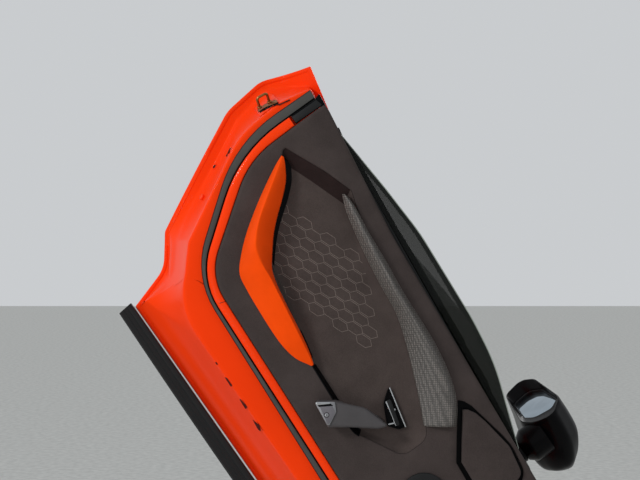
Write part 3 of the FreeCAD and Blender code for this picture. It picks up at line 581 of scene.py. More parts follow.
def clouded(material, shader, spot, base, patch_mm, share, detail=3.0):
    """Base colour with faint darker clouds"""
    cloud = add_node(material, "ShaderNodeTexNoise", {"Vector": spot},
                     {"Scale": per_metre(patch_mm), "Detail": detail})
    shade_between(material, shader, cloud.outputs["Fac"], scaled(base, share), base)


def raise_surface(material, shader, pattern, height_mm, strength):
    """Bump of a real height from a pattern"""
    bump = add_node(material, "ShaderNodeBump", {"Height": pattern},
                    {"Distance": height_mm * MM, "Strength": strength})
    material.node_tree.links.new(bump.outputs["Normal"], shader.inputs["Normal"])


def paint(finish, real_name, coat, peel_mm):
    # Basecoat and clear lacquer on pressed steel: deep orange with a sharp gloss and faint orange peel
    parts = new_material(finish, real_name, Roughness=0.3, IOR=1.5, Specular_IOR_Level=0.3,
                         Specular_Tint=tint("paint"), Coat_Weight=coat, Coat_Roughness=0.06, Coat_IOR=1.5)
    material, shader, spot = parts
    clouded(*parts, tint("paint"), 240, 0.93)
    peel = add_node(material, "ShaderNodeTexNoise", {"Vector": spot},
                    {"Scale": per_metre(peel_mm), "Detail": 2.0})
    raise_surface(material, shader, peel.outputs["Fac"], 0.02, 0.5)


def suede(finish, real_name, base, patch_mm):
    # Microfibre suede stretched over foam: matt, soft sheen and patches where the nap lies another way
    material, shader, spot = new_material(finish, real_name, Roughness=0.95, IOR=1.45, Sheen_Weight=0.03,
                                          Sheen_Roughness=0.5, Specular_IOR_Level=0.04)
    nap = add_node(material, "ShaderNodeTexNoise", {"Vector": spot},
                   {"Scale": per_metre(patch_mm), "Detail": 5.0, "Roughness": 0.6})
    fibre = add_node(material, "ShaderNodeTexNoise", {"Vector": spot},
                     {"Scale": per_metre(1.4), "Detail": 4.0})
    both = add_node(material, "ShaderNodeMath", {0: nap.outputs["Fac"], 1: fibre.outputs["Fac"]},
                    operation="ADD")
    half = add_node(material, "ShaderNodeMath", {0: both.outputs[0]}, {1: 0.5}, operation="MULTIPLY")
    shade_between(material, shader, half.outputs[0], scaled(base, 0.78), scaled(base, 1.18))
    raise_surface(material, shader, fibre.outputs["Fac"], 0.25, 0.6)


def leather(finish, real_name, base):
    # Smooth coated hide: fine pebbled grain and a low sheen
    parts = new_material(finish, real_name, Roughness=0.5, IOR=1.48, Specular_IOR_Level=0.25,
                         Specular_Tint=base)
    material, shader, spot = parts
    clouded(*parts, base, 60, 0.9)
    pebble = add_node(material, "ShaderNodeTexVoronoi", {"Vector": spot}, {"Scale": per_metre(1.6)},
                      feature="SMOOTH_F1")
    raise_surface(material, shader, pebble.outputs["Distance"], 0.12, 0.35)


def moulded(finish, real_name, base, roughness, grain_mm, depth_mm, metallic=0.0, coat=0.0, shine=0.3):
    # Moulded, cast or sprayed surface: an even colour broken by its own fine texture
    parts = new_material(finish, real_name, Roughness=roughness, Metallic=metallic, Coat_Weight=coat,
                         Coat_Roughness=0.05, Specular_IOR_Level=shine)
    material, shader, spot = parts
    clouded(*parts, base, 45, 0.85)
    grain = add_node(material, "ShaderNodeTexNoise", {"Vector": spot},
                     {"Scale": per_metre(grain_mm), "Detail": 3.0})
    raise_surface(material, shader, grain.outputs["Fac"], depth_mm, 0.5)


def grained(finish, real_name, base):
    # Grained polypropylene: small raised lozenges, painted lighter on their tops as painted highlight and
    # darker at their edges as painted shade, with a bump; a little coarse so that they show
    material, shader, spot = new_material(finish, real_name, Roughness=0.42, IOR=1.49)
    cells = add_node(material, "ShaderNodeTexVoronoi", {"Vector": spot},
                     {"Scale": per_metre(4.4), "Randomness": 0.2})
    shade_between(material, shader, cells.outputs["Distance"], scaled(base, 1.5), scaled(base, 0.45),
                  0.15, 0.6)
    raise_surface(material, shader, cells.outputs["Distance"], -0.7, 0.8)


def window(finish, real_name):
    # Laminated glass with a green-grey tint and a hard gloss, nearly black against a dull background
    parts = new_material(finish, real_name, Roughness=0.04, IOR=1.5, Specular_IOR_Level=0.2, Alpha=0.9)
    clouded(*parts, tint("glass"), 300, 0.9, detail=2.0)


def make_materials():
    paint("body_paint", "lacquered_steel", 0.08, 3.5)
    paint("frame_paint", "painted_pressing", 0.02, 2.2)
    suede("suede", "microfibre_suede", tint("suede"), 60)
    suede("insert_suede", "recess_suede", tint("insert"), 45)
    # The same suede painted darker, as painted shade on the recess's ledge
    suede("painted_shade_suede", "brushed_down_suede", linear("#2C2221"), 45)
    leather("blade_leather", "coated_leather", tint("leather"))
    grained("spear_grain", "grained_polypropylene", tint("moulding"))
    window("tinted_glass", "laminated_glass")
    # EPDM sponge rubber, flocked grey on its face and black at its lips
    moulded("seal_rubber", "flocked_sponge_rubber", tint("seal"), 0.75, 1.0, 0.1)
    moulded("black_rubber", "moulded_rubber", tint("rubber"), 0.6, 1.2, 0.1)
    # Grained, gloss and satin ABS
    moulded("black_plastic", "grained_abs", tint("rubber"), 0.5, 0.9, 0.15)
    moulded("gloss_black", "gloss_abs", tint("gloss"), 0.3, 8, 0.005, coat=0.03, shine=0.06)
    moulded("grey_plastic", "satin_grey_abs", linear("#4C494A"), 0.45, 0.9, 0.05)
    # Ground edge of the window, which scatters light
    moulded("ground_edge", "ground_glass_edge", linear("#8D958C"), 0.5, 1.5, 0.01)
    # Paint in the shade of a slot, and the ink of the printed lines
    moulded("dark_slit", "shadowed_paint", linear("#4A0E04"), 0.7, 2, 0.05)
    moulded("line_print", "printed_ink", tint("thread"), 0.6, 0.6, 0.05)
    # Satin silver and grey paint on ABS
    moulded("silver_cap", "silver_paint_on_abs", tint("cap"), 0.34, 1.5, 0.01, metallic=0.55)
    moulded("cap_face", "grey_paint_on_abs", linear("#6E6B70"), 0.4, 1.5, 0.01)
    # Chrome tinted bronze as a painted reflection of the orange paint, chromed zinc, turned steel and
    # sand-cast aluminium
    moulded("bronze", "yellow_zinc_on_steel", linear("#A8703F"), 0.28, 2, 0.01, metallic=1.0)
    moulded("lever_chrome", "chromed_zinc", linear("#C4C6C8"), 0.14, 6, 0.005, metallic=1.0)
    moulded("steel", "turned_steel", linear("#A7A9AB"), 0.3, 1.4, 0.02, metallic=1.0)
    moulded("cast_aluminium", "sand_cast_aluminium", linear("#A3A5A8"), 0.5, 1.2, 0.2, metallic=1.0)
    # Powder coat on the strut's tube, and silvered mirror glass
    moulded("strut_paint", "powder_coated_steel", linear("#141416"), 0.38, 1.1, 0.05)
    moulded("mirror_silver", "silvered_glass", linear("#A9B6C0"), 0.03, 200, 0.001, metallic=1.0)
    moulded("studio_floor", "studio_floor", tint("floor"), 0.85, 12, 0.1)


class BuildStep:
    """Operator that makes its pieces in turn"""

    def execute(self, context):
        for make in self.pieces:
            make()
        return {"FINISHED"}


def finish_solids():
    """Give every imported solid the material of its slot"""
    slots = {row["node"]: row["material_slot"] for row in frame["record"]["subparts"]}
    for name, node in frame["nodes"].items():
        node.data.materials.clear()
        node.data.materials.append(finish_material(slots[name]))


class DOOR_OT_finish_solids(BuildStep, bpy.types.Operator):
    """Make the materials and give every solid its own"""

    bl_idname = "door.finish_solids"
    bl_label = "Finish solids"
    pieces = (make_materials, finish_solids)


# Painted panels
def outer_skin():
    """Outer skin with its edge folded over the frame in a hem, and the groove round the flush handle"""
    sheet = Sheet()
    hem = ((9.6, 6.4), (9, 7.6), (2.2, 7.8), (0.6, 6.6), (0, 4.6), (0, 2.4), (0.9, 0.7), (3, 0))
    last = sheet.edge(HEM, [(across, off_skin(depth)) for across, depth in hem])[1]
    deep = off_skin(FLAP_GROOVE)
    rim, island = sheet.edge(FLAP, [(0, skin_y), (0, deep), (FLAP_GROOVE, deep), (FLAP_GROOVE, skin_y)], 1)
    sheet.fill([last, rim], 13, skin_y)
    sheet.fill([island], 13, skin_y)
    sheet.finish("skin_panel", ["body_paint", "black_rubber"], sharp=60, replaced=["outer_skin"])


def inner_frame():
    """Pressed frame from the hem over its flange and sloping shut face to the seal's seat"""
    sheet = Sheet()
    rows = [ring(HEM, off_skin(3.6), 1.8), ring(HEM, off_skin(6.4), 1.8), ring(HEM, off_skin(6.6), 7),
            ring(HEM, off_skin(6.6), 10)]
    for share, deep in FRAME_ROWS:
        rows.append(ring(between(FLANGE, PLATEAU, share), under_skin(deep * FLANGE_DEPTH)))
    last = sheet.rings([*rows, ring(PLATEAU, 0, 5), ring(PLATEAU, 0, 30)])[1]
    sheet.fill([last], 60, lambda u, v: 0)
    sheet.finish("pressed_frame", ["frame_paint"], sharp=75, subdivide=1, replaced=["inner_frame"])


class DOOR_OT_panels(BuildStep, bpy.types.Operator):
    """Build the outer skin and the pressed frame"""

    bl_idname = "door.panels"
    bl_label = "Painted panels"
    pieces = (outer_skin, inner_frame)


# Seal, accent and sill strips
def band(outer, inner, profile, kinds=None):
    """Strip between two outlines whose section is a loop of (share of the width, inset in mm, y)"""
    sheet = Sheet()
    rows = [sheet.row(ring(between(outer, inner, share), y, across)) for share, across, y in profile]
    for i in range(len(rows)):
        sheet.strip(rows[i], rows[(i + 1) % len(rows)], kind=kinds[i] if kinds else 0)
    return sheet


def weatherstrip():
    """Seal with a grey face between black lips, cut off at its rear upper end"""
    profile = [(0, -0.4, -0.3), (0, -0.5, -3.5), (0, 0.2, -4.6), (0, 1, -4.2), (0, 1.1, -10), (0, 1.9, -11.6),
               (0.3, 0, -SEAL_HEIGHT), (0.7, 0, -SEAL_HEIGHT), (1, -3.4, -11.4), (1, -2.4, -9.5),
               (1, -2.4, -4.2), (1, -0.9, -4.6), (1, -0.4, -3.5), (1, -0.4, -0.3)]
    sheet = band(SEAL, ACCENT, profile, [1] * 5 + [0] * 3 + [1] * 6)
    # A point of each plane that cuts it off, and the direction in which it is cut away
    cuts = [((-300, 0, 575), (0.0, 0, 1.0)), ((0, 0, 549), (0.085, 0, 0.996))]
    sheet.finish("weatherstrip", ["seal_rubber", "black_rubber"], sharp=50, replaced=["door_seal"], clip=cuts)


def accent_moulding():
    """Painted strip with a rounded crown, and the joint between its two lengths"""
    tall = ACCENT_HEIGHT
    profile = [(0, 0, -0.3), (0, 0, -11.5), (0, 0.4, -12.8), (0, 1.4, -13.6), (0.5, 0, 0.4 - tall),
               (1, -3.4, -tall), (1, -1.8, 0.5 - tall), (1, -0.8, 1.8 - tall), (1, -0.5, 4 - tall),
               (1, -0.5, -0.3)]
    sheet = band(ACCENT, ACCENT_INNER, profile)
    sheet.finish("accent_moulding", ["body_paint"], sharp=60, replaced=["accent_strip"],
                 clip=[((-130, 0, 494), (0.02, 0, 1.0))])
    joint = Sheet()
    across = [(96.6, 161, 0.2), (100.8, 173.8, 0.2), (101.8, 173.4, 0.2), (97.6, 160.7, 0.2)]
    joint.block(across, 3 - tall, -tall, 0.2)
    joint.finish("accent_joint", ["dark_slit"], slot="body_paint", sharp=35)


def sill_rubber():
    """Ribbed strip below the door, deeper in its middle, with its rear end cut at a slope"""
    # v and y round the section
    section = [(-1.2, 86), (-1.2, 100), (-6, 103.6), (-12, 101), (-14, 103.4), (-20, 101), (-22, 103.2),
               (-28, 100.6), (-33.4, 102), (-33.6, 90), (-30, 84.6), (-22, 86), (-20, 84.4), (-13, 86),
               (-11, 84.4), (-4, 84.4)]
    deep = 34
    bow = 6
    rear_slope = 0.12
    rear_end = -6.8
    front_end = 976
    rows = []
    for share in np.linspace(0, 1, 40):
        lower = 1 + 4 * bow / deep * share * (1 - share)
        rows.append([((rear_end - (v + deep) * rear_slope) * (1 - share) + front_end * share, v * lower, y)
                     for v, y in section])
    sheet = Sheet()
    sheet.solid(rows)
    sheet.finish("sill_rubber", ["black_rubber"], sharp=30, slot="seal_rubber", replaced=["sill_strip"])


class DOOR_OT_strips(BuildStep, bpy.types.Operator):
    """Build the weatherstrip, the accent strip and the sill's rubber"""

    bl_idname = "door.strips"
    bl_label = "Strips"
    pieces = (weatherstrip, accent_moulding, sill_rubber)


# Trim, its recessed insert and the hexagon lines
# The belt line's knee, a point of the line behind it, and the line's fall behind and ahead of the knee
BELT_KNEE = (190, 529)
REAR_BELT = (6, 556.7)
REAR_FALL = 0.165
FRONT_FALL = 0.0789
# Width of the rail that leans back to the glass, of its upper part that never blends, and of the blend below
RAIL_WIDTH = 64
RAIL_KEPT = 40
RAIL_BLEND = 30
RAIL_CURVE = 1.3
# Where the rail starts to run out at the rear, over what length, and how much of it has then gone
REAR_START = -40
REAR_LENGTH = 60
REAR_SHARE = 0.7


def belt_v(u):
    """Height of the trim's upper edge"""
    if u < BELT_KNEE[0]:
        return REAR_BELT[1] - (u - REAR_BELT[0]) * REAR_FALL
    return BELT_KNEE[1] - (u - BELT_KNEE[0]) * FRONT_FALL


def trim_face(u, v):
    """Trim's face: flat below, and above the recess a rail that leans back to the window"""
    below = belt_v(u) - v
    rail = RAIL_HEIGHT - (RAIL_HEIGHT - BELT_HEIGHT) * max(0, 1 - below / RAIL_WIDTH) ** RAIL_CURVE
    if below <= RAIL_KEPT:
        return -rail
    low = min(max((below - RAIL_WIDTH) / RAIL_BLEND, 0), 1)
    rear = min(max((REAR_START - u) / REAR_LENGTH, 0), 1)
    blend = max(low, rear * REAR_SHARE)
    return -rail * (1 - blend) - TRIM_HEIGHT * blend


def off_trim(distance_in):
    """A depth at a distance behind the trim's face"""
    return lambda u, v: trim_face(u, v) + distance_in


def trim_shell():
    """Suede trim with the opening of its recess, and the pod panel in its groove, whose walls and floor are
    gloss black as painted shade
    """
    sheet = Sheet()
    outer = sheet.edge(TRIM_EDGE, [(0, -GAP), (0, off_trim(6)), (1.6, off_trim(2)), (4.5, off_trim(0.4)),
                                   (8, trim_face)])[1]
    lip = sheet.edge(RECESS, [(0, -INSERT_HEIGHT), (0, off_trim(3)), (-1.2, off_trim(0.8)), (-4, trim_face)],
                     {GLOSS_SIDE: 1})[1]
    # The groove's walls and floor are black: painted shade in the groove round the pod panel
    floor, groove = sheet.edge(POD_GROOVE, [(0, -POD_FLOOR), (0, off_trim(2))], 1)
    sheet.cap(floor, 1)
    brim = sheet.row(ring(POD_GROOVE, trim_face, -1.6))
    sheet.strip(groove, brim)
    sheet.fill([outer, lip, brim], 14, trim_face)
    sheet.finish("trim_shell", ["suede", "gloss_black"], sharp=60, replaced=["trim_panel"])
    panel = Sheet()
    panel.block(POD, -POD_FLOOR - GAP, -POD_HEIGHT, 2.4, back=True)
    panel.finish("pod_panel", ["suede"], slot="black_plastic", sharp=50, replaced=["sail_trim"])


# Steps down the recess's wall, as shares of it
WALL_STEPS = (0, 0.06, 0.2, 0.35, 0.5, 0.65, 0.8, 0.92, 1.0)


def recess_face(share):
    """Depth on the recess's wall, from the trim's face at its edge to its flat floor"""
    fall = (1 - share) ** 1.5
    return lambda u, v: -INSERT_HEIGHT + (trim_face(u, v) + 3 + INSERT_HEIGHT) * fall


def insert_cloth():
    """Suede insert whose ledge is painted darker as painted shade, with a gloss strip along its lower edge"""
    sheet = Sheet()
    inner = inset(RECESS, 0.6)
    rows = [ring(inner, -GAP)]
    for share in WALL_STEPS:
        rows.append(ring(between(inner, FLOOR, share), recess_face(share)))
    last = sheet.rings(rows, kind={**dict.fromkeys(LEDGE_SIDES, 1), GLOSS_SIDE: 2})[1]
    sheet.fill([last], 22, lambda u, v: -INSERT_HEIGHT)
    sheet.finish("insert_cloth", ["insert_suede", "painted_shade_suede", "gloss_black"], sharp=60,
                 replaced=["trim_insert"])


# Hexagon lattice on the insert: a cell's middle, its two steps, its corners and the lines' half width
CELL_MIDDLE = Vector((63.2, 396.4))
CELL_STEPS = (Vector((23.1, 20.9)), Vector((31.3, 0.3)))
HALF_CORNERS = [Vector((-12.7, 5.4)), Vector((5.6, 12.5)), Vector((17.6, 7.1))]
CELL_CORNERS = [*HALF_CORNERS, *(-corner for corner in HALF_CORNERS)]
CELL_LINE = 0.4
# Sides that are left to the cell across them, where there is one, with the steps to that cell
CELL_SHARED = {4: (-1, 0), 5: (0, -1)}


def hexagon_lines():
    """Lines of the printed field, whose rows step down along the blade and end short of the spear"""
    cells = {}
    for i in range(-6, 4):
        for j in range(-2, 12):
            if 0 <= j - i <= 12 and -5 <= j + 2 * i <= 7:
                cells[i, j] = CELL_MIDDLE + CELL_STEPS[0] * i + CELL_STEPS[1] * j
    sheet = Sheet()
    for (i, j), middle in cells.items():
        for k in range(6):
            step = CELL_SHARED.get(k)
            if step and (i + step[0], j + step[1]) in cells:
                continue
            a = middle + CELL_CORNERS[k]
            b = middle + CELL_CORNERS[(k + 1) % 6]
            across = Vector((b.y - a.y, a.x - b.x)).normalized() * CELL_LINE
            corners = (a + across, b + across, b - across, a - across)
            sheet.cap(sheet.row([(*corner, -INSERT_HEIGHT - 0.35) for corner in corners]))
    sheet.finish("hexagon_lines", ["line_print"], slot="insert_suede")


class DOOR_OT_trim(BuildStep, bpy.types.Operator):
    """Build the suede trim, its insert and the hexagon lines"""

    bl_idname = "door.trim"
    bl_label = "Trim"
    pieces = (trim_shell, insert_cloth, hexagon_lines)


# Armrest blade and spear moulding, a row for each section: lower u and v, ridge u, v and y, upper u and v
BLADE = [(-77, 437.8, -74.5, 438, -24, -72, 439.5),
         (-68.2, 417.5, -62, 421, -36, -56, 432),
         (-50.3, 384.3, -40, 390, -50, -29, 414.5),
         (-29.6, 349.3, -13, 351, -58, -3.5, 387.5),
         (-9.8, 318.8, 6.5, 325, -61, 20.5, 358.5),
         (12.1, 288, 25, 306, -62, 44, 333.5),
         (38, 258, 50, 287.5, -62, 71, 311),
         (70, 230, 84, 280, -60, 98.5, 291),
         (108, 222.4, 116, 277.5, -56, 124, 281.5),
         (156.1, 218.6, 156, 271.5, -51, 157, 275),
         (207.4, 216, 208, 263.5, -44, 210, 267.2),
         (245.4, 217, 248, 257, -38, 250, 261),
         (278, 224, 282, 251, -31, 284, 254.2),
         (301.4, 236.9, 305, 246, -25, 306, 248),
         (309, 241.5, 309.5, 243.5, -23, 310, 245)]
SPEAR = [(58, 493.5, 60.4, 496.6, -29, 64, 499),
         (74, 486, 84, 496, -35, 95, 500.2),
         (102.5, 477, 124, 490, -40, 150, 493.6),
         (173.4, 462.6, 190, 481, -46, 222, 488.5),
         (248.3, 451.5, 262, 474, -50, 290, 481.5),
         (317.5, 444.4, 332, 468, -52, 352, 478.5),
         (379.0, 425.9, 400, 462, -52, 414, 474.5),
         (444.0, 401.1, 470, 452, -50, 482, 463),
         (505, 375.5, 528, 432, -46, 538, 443),
         (541.8, 357.5, 572, 404, -42, 581, 411.1)]


# Steps up a ridge's slopes as shares of them, and the height below which a ridge's edge step is reduced
RIDGE_STEPS = (0.0, 0.03, 0.1, 0.25, 0.45, 0.65, 0.82, 0.93, 1.0)
LOW_RIDGE = 12


def ridge_piece(table, base_y, near_foot, far_foot, edge, crown):
    """Rounded ridge over a table of edges and ridges, standing on its feet"""
    rows = []
    for near_u, near_v, top_u, top_v, top_y, far_u, far_v in smooth_rows(table, 6):
        start = base_y - edge * min(1, (base_y - top_y) / LOW_RIDGE)

        def slope(u, v, share):
            lift = min(share + crown * share * (1 - share) * 4, 1.0)
            return (u + (top_u - u) * share, v + (top_v - v) * share, start + (top_y - start) * lift)
        near = [slope(near_u, near_v, share) for share in RIDGE_STEPS]
        far = [slope(far_u, far_v, share) for share in RIDGE_STEPS[-2::-1]]
        rows.append([(near_u, near_v, near_foot), *near, *far, (far_u, far_v, far_foot)])
    sheet = Sheet()
    sheet.solid(rows, closed=False)
    return sheet


# The painted shadow skirt's reach past the blade: at its lower end, what more it has at the tip, and where
# that has run out
SHADOW_SKIRT_REACH = 2.4
SHADOW_TIP_REACH = 9
REACH_END = 190


def armrest_blade():
    """Leather pad, and a black skirt under its far edge that shows in the recess as a painted shadow"""
    sheet = ridge_piece(BLADE, -TRIM_HEIGHT - GAP, -TRIM_HEIGHT - GAP, -INSERT_HEIGHT - 1, 4, 0.12)
    pad = sheet.finish("blade_pad", ["blade_leather"], sharp=70, subdivide=1, replaced=["armrest_blade"])
    # Black skirt sloping from under the blade's far edge down to the insert: painted shadow
    rows = []
    for near_u, near_v, _, _, _, far_u, far_v in smooth_rows(BLADE, 4)[:-6]:
        edge = Vector((far_u, far_v))
        across = (edge - Vector((near_u, near_v))).normalized()
        reach = SHADOW_SKIRT_REACH + SHADOW_TIP_REACH * min(1, max(0, 1 - far_u / REACH_END)) ** 2
        rows.append([(*(edge + across * out), -INSERT_HEIGHT - up)
                     for out, up in ((-2, 7), (reach * 0.4, 4.5), (reach, 0.3))])
    foot = Sheet()
    foot.rings(rows, closed=False)
    foot.finish("blade_foot", ["gloss_black"], slot="black_plastic", sharp=60)


def spear_trim():
    sheet = ridge_piece(SPEAR, -TRIM_HEIGHT - GAP, -TRIM_HEIGHT + 3, -TRIM_HEIGHT + 2, 2, 0.16)
    sheet.finish("spear_moulding", ["spear_grain"], sharp=60, subdivide=1, replaced=["spear_trim"])


class DOOR_OT_armrest(BuildStep, bpy.types.Operator):
    """Build the leather armrest and the grained moulding above it"""

    bl_idname = "door.armrest"
    bl_label = "Armrest"
    pieces = (armrest_blade, spear_trim)


# Window glass
GLASS_RADIUS = 1100
GLASS_LEAN = math.radians(22)
BELT_FALL = math.radians(4.95)
GLASS_THICK = 4
BELT_POINT = (20, 25, 546)
PANE = [(-20, 402, 12), (-74, 562, 6), (100, 575, 400), (215, 580, 500), (420, 567, 700), (520, 553, 500),
        (699, 492, 6), (689, 332, 12)]


def glass_face(radius, off=0):
    """A depth off a face of the glass, a cylinder whose axis follows the belt line"""
    axis_y = BELT_POINT[1] - math.cos(GLASS_LEAN) * GLASS_RADIUS + off

    def depth(u, v):
        across = (u - BELT_POINT[0]) * math.sin(BELT_FALL) + (v - BELT_POINT[2]) * math.cos(BELT_FALL)
        across += math.sin(GLASS_LEAN) * GLASS_RADIUS
        return axis_y + math.sqrt(radius ** 2 - across ** 2)
    return depth


def window_glass():
    """Curved pane with a ground edge all round"""
    sheet = Sheet()
    outer = GLASS_RADIUS
    inner = GLASS_RADIUS - GLASS_THICK
    profile = [(2.4, glass_face(inner)), (1, glass_face(inner, 0.6)), (0.4, glass_face(inner, 2)),
               (1, glass_face(outer, -0.6)), (2.4, glass_face(outer))]
    first, last = sheet.edge(PANE, profile, 1)
    sheet.fill([first], 30, glass_face(inner))
    sheet.fill([last], 30, glass_face(outer))
    sheet.finish("window_pane", ["tinted_glass", "ground_edge"], sharp=50, replaced=["window_glass"])


# Grab handle, its feet and its cap
HANDLE = [(368, 206, 6), (393, 242, 14), (440, 285, 40), (497, 302, 4), (488, 280, 16), (455, 238, 40),
          (428, 199, 4)]
HANDLE_FOOT = [(369, 206.5, 5), (393, 241.5, 10), (407, 254, 3), (432, 202, 4)]
UPPER_FOOT = [(466, 281, 3), (469, 294, 3), (492, 298, 3), (484, 278, 3)]
CAP = [(368.5, 206.5, 4), (392.5, 241, 3), (411, 231.5, 8), (427.5, 200.5, 4)]
CAP_FACE = [(382.5, 210.5, 2), (394.5, 231.5, 2), (410.5, 230, 4), (424.5, 201.5, 3)]
CAP_HIGHLIGHT = [(369.6, 207, 1.5), (392.8, 239, 1.5), (389, 227, 3), (378.5, 209, 3)]
CAP_SLOT = [(377.4, 208, 0.4), (390.4, 231.4, 0.4), (397.6, 233.8, 0.4), (382.6, 208.6, 0.4)]
HANDLE_TOP = 56
HANDLE_UNDER = 42
CAP_TOP = 60
SCREW = (404.7, 212, -CAP_TOP)
INBOARD = (0, 0, -1)


def grab_handle():
    """Bar on two feet, crowned over its length"""
    sheet = Sheet()
    low, high = -HANDLE_UNDER, -HANDLE_TOP
    for row in sheet.edge(HANDLE, [(4, low), (1, low - 0.8), (0, low - 3.4), (0, high + 7), (1.1, high + 4),
                                   (3.4, high + 1.4), (7, high)]):
        sheet.cap(row)
    sheet.block(HANDLE_FOOT, -TRIM_HEIGHT - GAP, low - 2, 0.6)
    sheet.block(UPPER_FOOT, -INSERT_HEIGHT - GAP, low - 2, 0.6)
    sheet.finish("grab_bar", ["grey_plastic"], slot="black_plastic", sharp=35, replaced=["grab_handle"])


def handle_cap():
    """Satin cap with a chrome patch at its left end as a painted highlight, a slot and a sunk screw"""
    sheet = Sheet()
    sheet.block(CAP, -HANDLE_TOP - GAP, 0.6 - CAP_TOP, 1.4, back=True)
    sheet.block(CAP_FACE, 1.4 - CAP_TOP, 0.1 - CAP_TOP, 0.6, 1)
    # Chrome patch at the cap's left end: painted highlight
    sheet.block(CAP_HIGHLIGHT, 1.4 - CAP_TOP, -CAP_TOP, 0.6, 2)
    sheet.block(CAP_SLOT, 1 - CAP_TOP, -CAP_TOP, 0.2, 3)
    u, v, y = SCREW
    sheet.turned((u, v, y + 1.6), INBOARD, [(0, 5.4), (1.6, 5.4), (1.8, 5.1), (1.8, 4.6), (0.9, 4.2)], 3)
    sheet.turned((u, v, y + 1.2), INBOARD, [(0, 3.7), (0.9, 3.7), (1.2, 3.2), (1.25, 1.5), (0.4, 1.3)], 4)
    sheet.finish("cap_shell", ["silver_cap", "cap_face", "lever_chrome", "gloss_black", "steel"], sharp=35,
                 slot="silver_cap", replaced=["handle_cap"])


# Release lever in its pocket
POCKET = [(433.8, 347.3, 3), (522, 327, 5), (519, 313, 8), (499.3, 297, 8), (457.4, 317, 12), (447, 329, 10)]
LEVER = [(455, 324, 3), (457, 335, 4), (512, 320, 3), (510, 311, 3)]
LEVER_EDGE = [(455.6, 322.9, 0.6), (457.4, 326.2, 0.6), (509.4, 312.6, 0.6), (508.8, 311.3, 0.6)]
LEVER_FOOT = [(496.1, 302, 0.8), (502.2, 316.4, 0.8), (504.8, 315.2, 0.8), (498.8, 300.9, 0.8)]
POCKET_RIM = INSERT_HEIGHT + GAP + 6
POCKET_FLOOR = INSERT_HEIGHT + GAP + 1.5
LEVER_TOP = POCKET_FLOOR + GAP + 6
BRIGHT_LINE = [(437, 347.6, 0.5), (523, 328.2, 0.5), (522, 325.9, 0.5), (437.5, 345.2, 0.5)]


def lever_pocket():
    """Tray with a bright line along its upper edge"""
    sheet = Sheet()
    rim = -POCKET_RIM
    profile = [(0, -INSERT_HEIGHT - GAP), (0, rim + 1.2), (0.4, rim + 0.3), (1, rim), (2, rim),
               (2.5, rim + 0.6), (2.6, -POCKET_FLOOR)]
    sheet.cap(sheet.edge(POCKET, profile)[1])
    sheet.block(BRIGHT_LINE, rim + 0.4, rim - 0.5, 0.4, 1)
    sheet.finish("pocket_shell", ["gloss_black", "lever_chrome"], slot="black_plastic", sharp=35,
                 replaced=["lever_pocket"])


def release_lever():
    """Grip with a bright edge and a bright foot"""
    sheet = Sheet()
    sheet.block(LEVER, -POCKET_FLOOR - GAP, -LEVER_TOP, 1.6, back=True)
    sheet.block(LEVER_EDGE, 1.6 - LEVER_TOP, -LEVER_TOP, 0.5, 1)
    sheet.block(LEVER_FOOT, -POCKET_FLOOR, -LEVER_TOP, 0.6, 1)
    sheet.turned((480.2, 329.2, 1 - POCKET_RIM), INBOARD, [(0, 1.8), (1.6, 1.8), (1.9, 1.2)], 1, steps=16)
    sheet.finish("lever_grip", ["black_plastic", "lever_chrome"], slot="lever_chrome", sharp=35,
                 replaced=["release_lever"])


class DOOR_OT_controls(BuildStep, bpy.types.Operator):
    """Build the grab handle, its cap, the release lever and its pocket"""

    bl_idname = "door.controls"
    bl_label = "Handle and lever"
    pieces = (grab_handle, handle_cap, lever_pocket, release_lever)


# Striker on the rear shut face: a wire loop on a plate with a bar, and a black strip below the bar as a
# painted shadow
SHUT_NORMAL = Vector((-0.78, 0.24, -0.58))
STRIKER_LOW = Vector((-184.6, 457, 31))
STRIKER_HIGH = Vector((-182.2, 480, 31))
STRIKER_WIRE = 2.8
STRIKER_REACH = 26
PLATE = [(-198, 446, 3), (-202, 497, 3), (-172, 498, 3), (-170, 447, 3)]
STRIKER_BASE = [(-187.6, 450.6, 2.4), (-188.4, 470, 20), (-181, 495, 2.4), (-171.6, 494, 2.4),
                (-179.4, 470, 20), (-181.4, 450, 2.4)]
STRIKER_SHADOW = [(-182, 449.6, 1.6), (-179.6, 470, 20), (-172.2, 494.6, 1.6), (-167.6, 493, 1.6),
                (-174.6, 470, 20), (-177.4, 449, 1.6)]
PLUGS = ((-143.5, 310), (-106, 252))
PLUG_NORMAL = Vector((-0.75, -0.32, -0.55)).normalized()


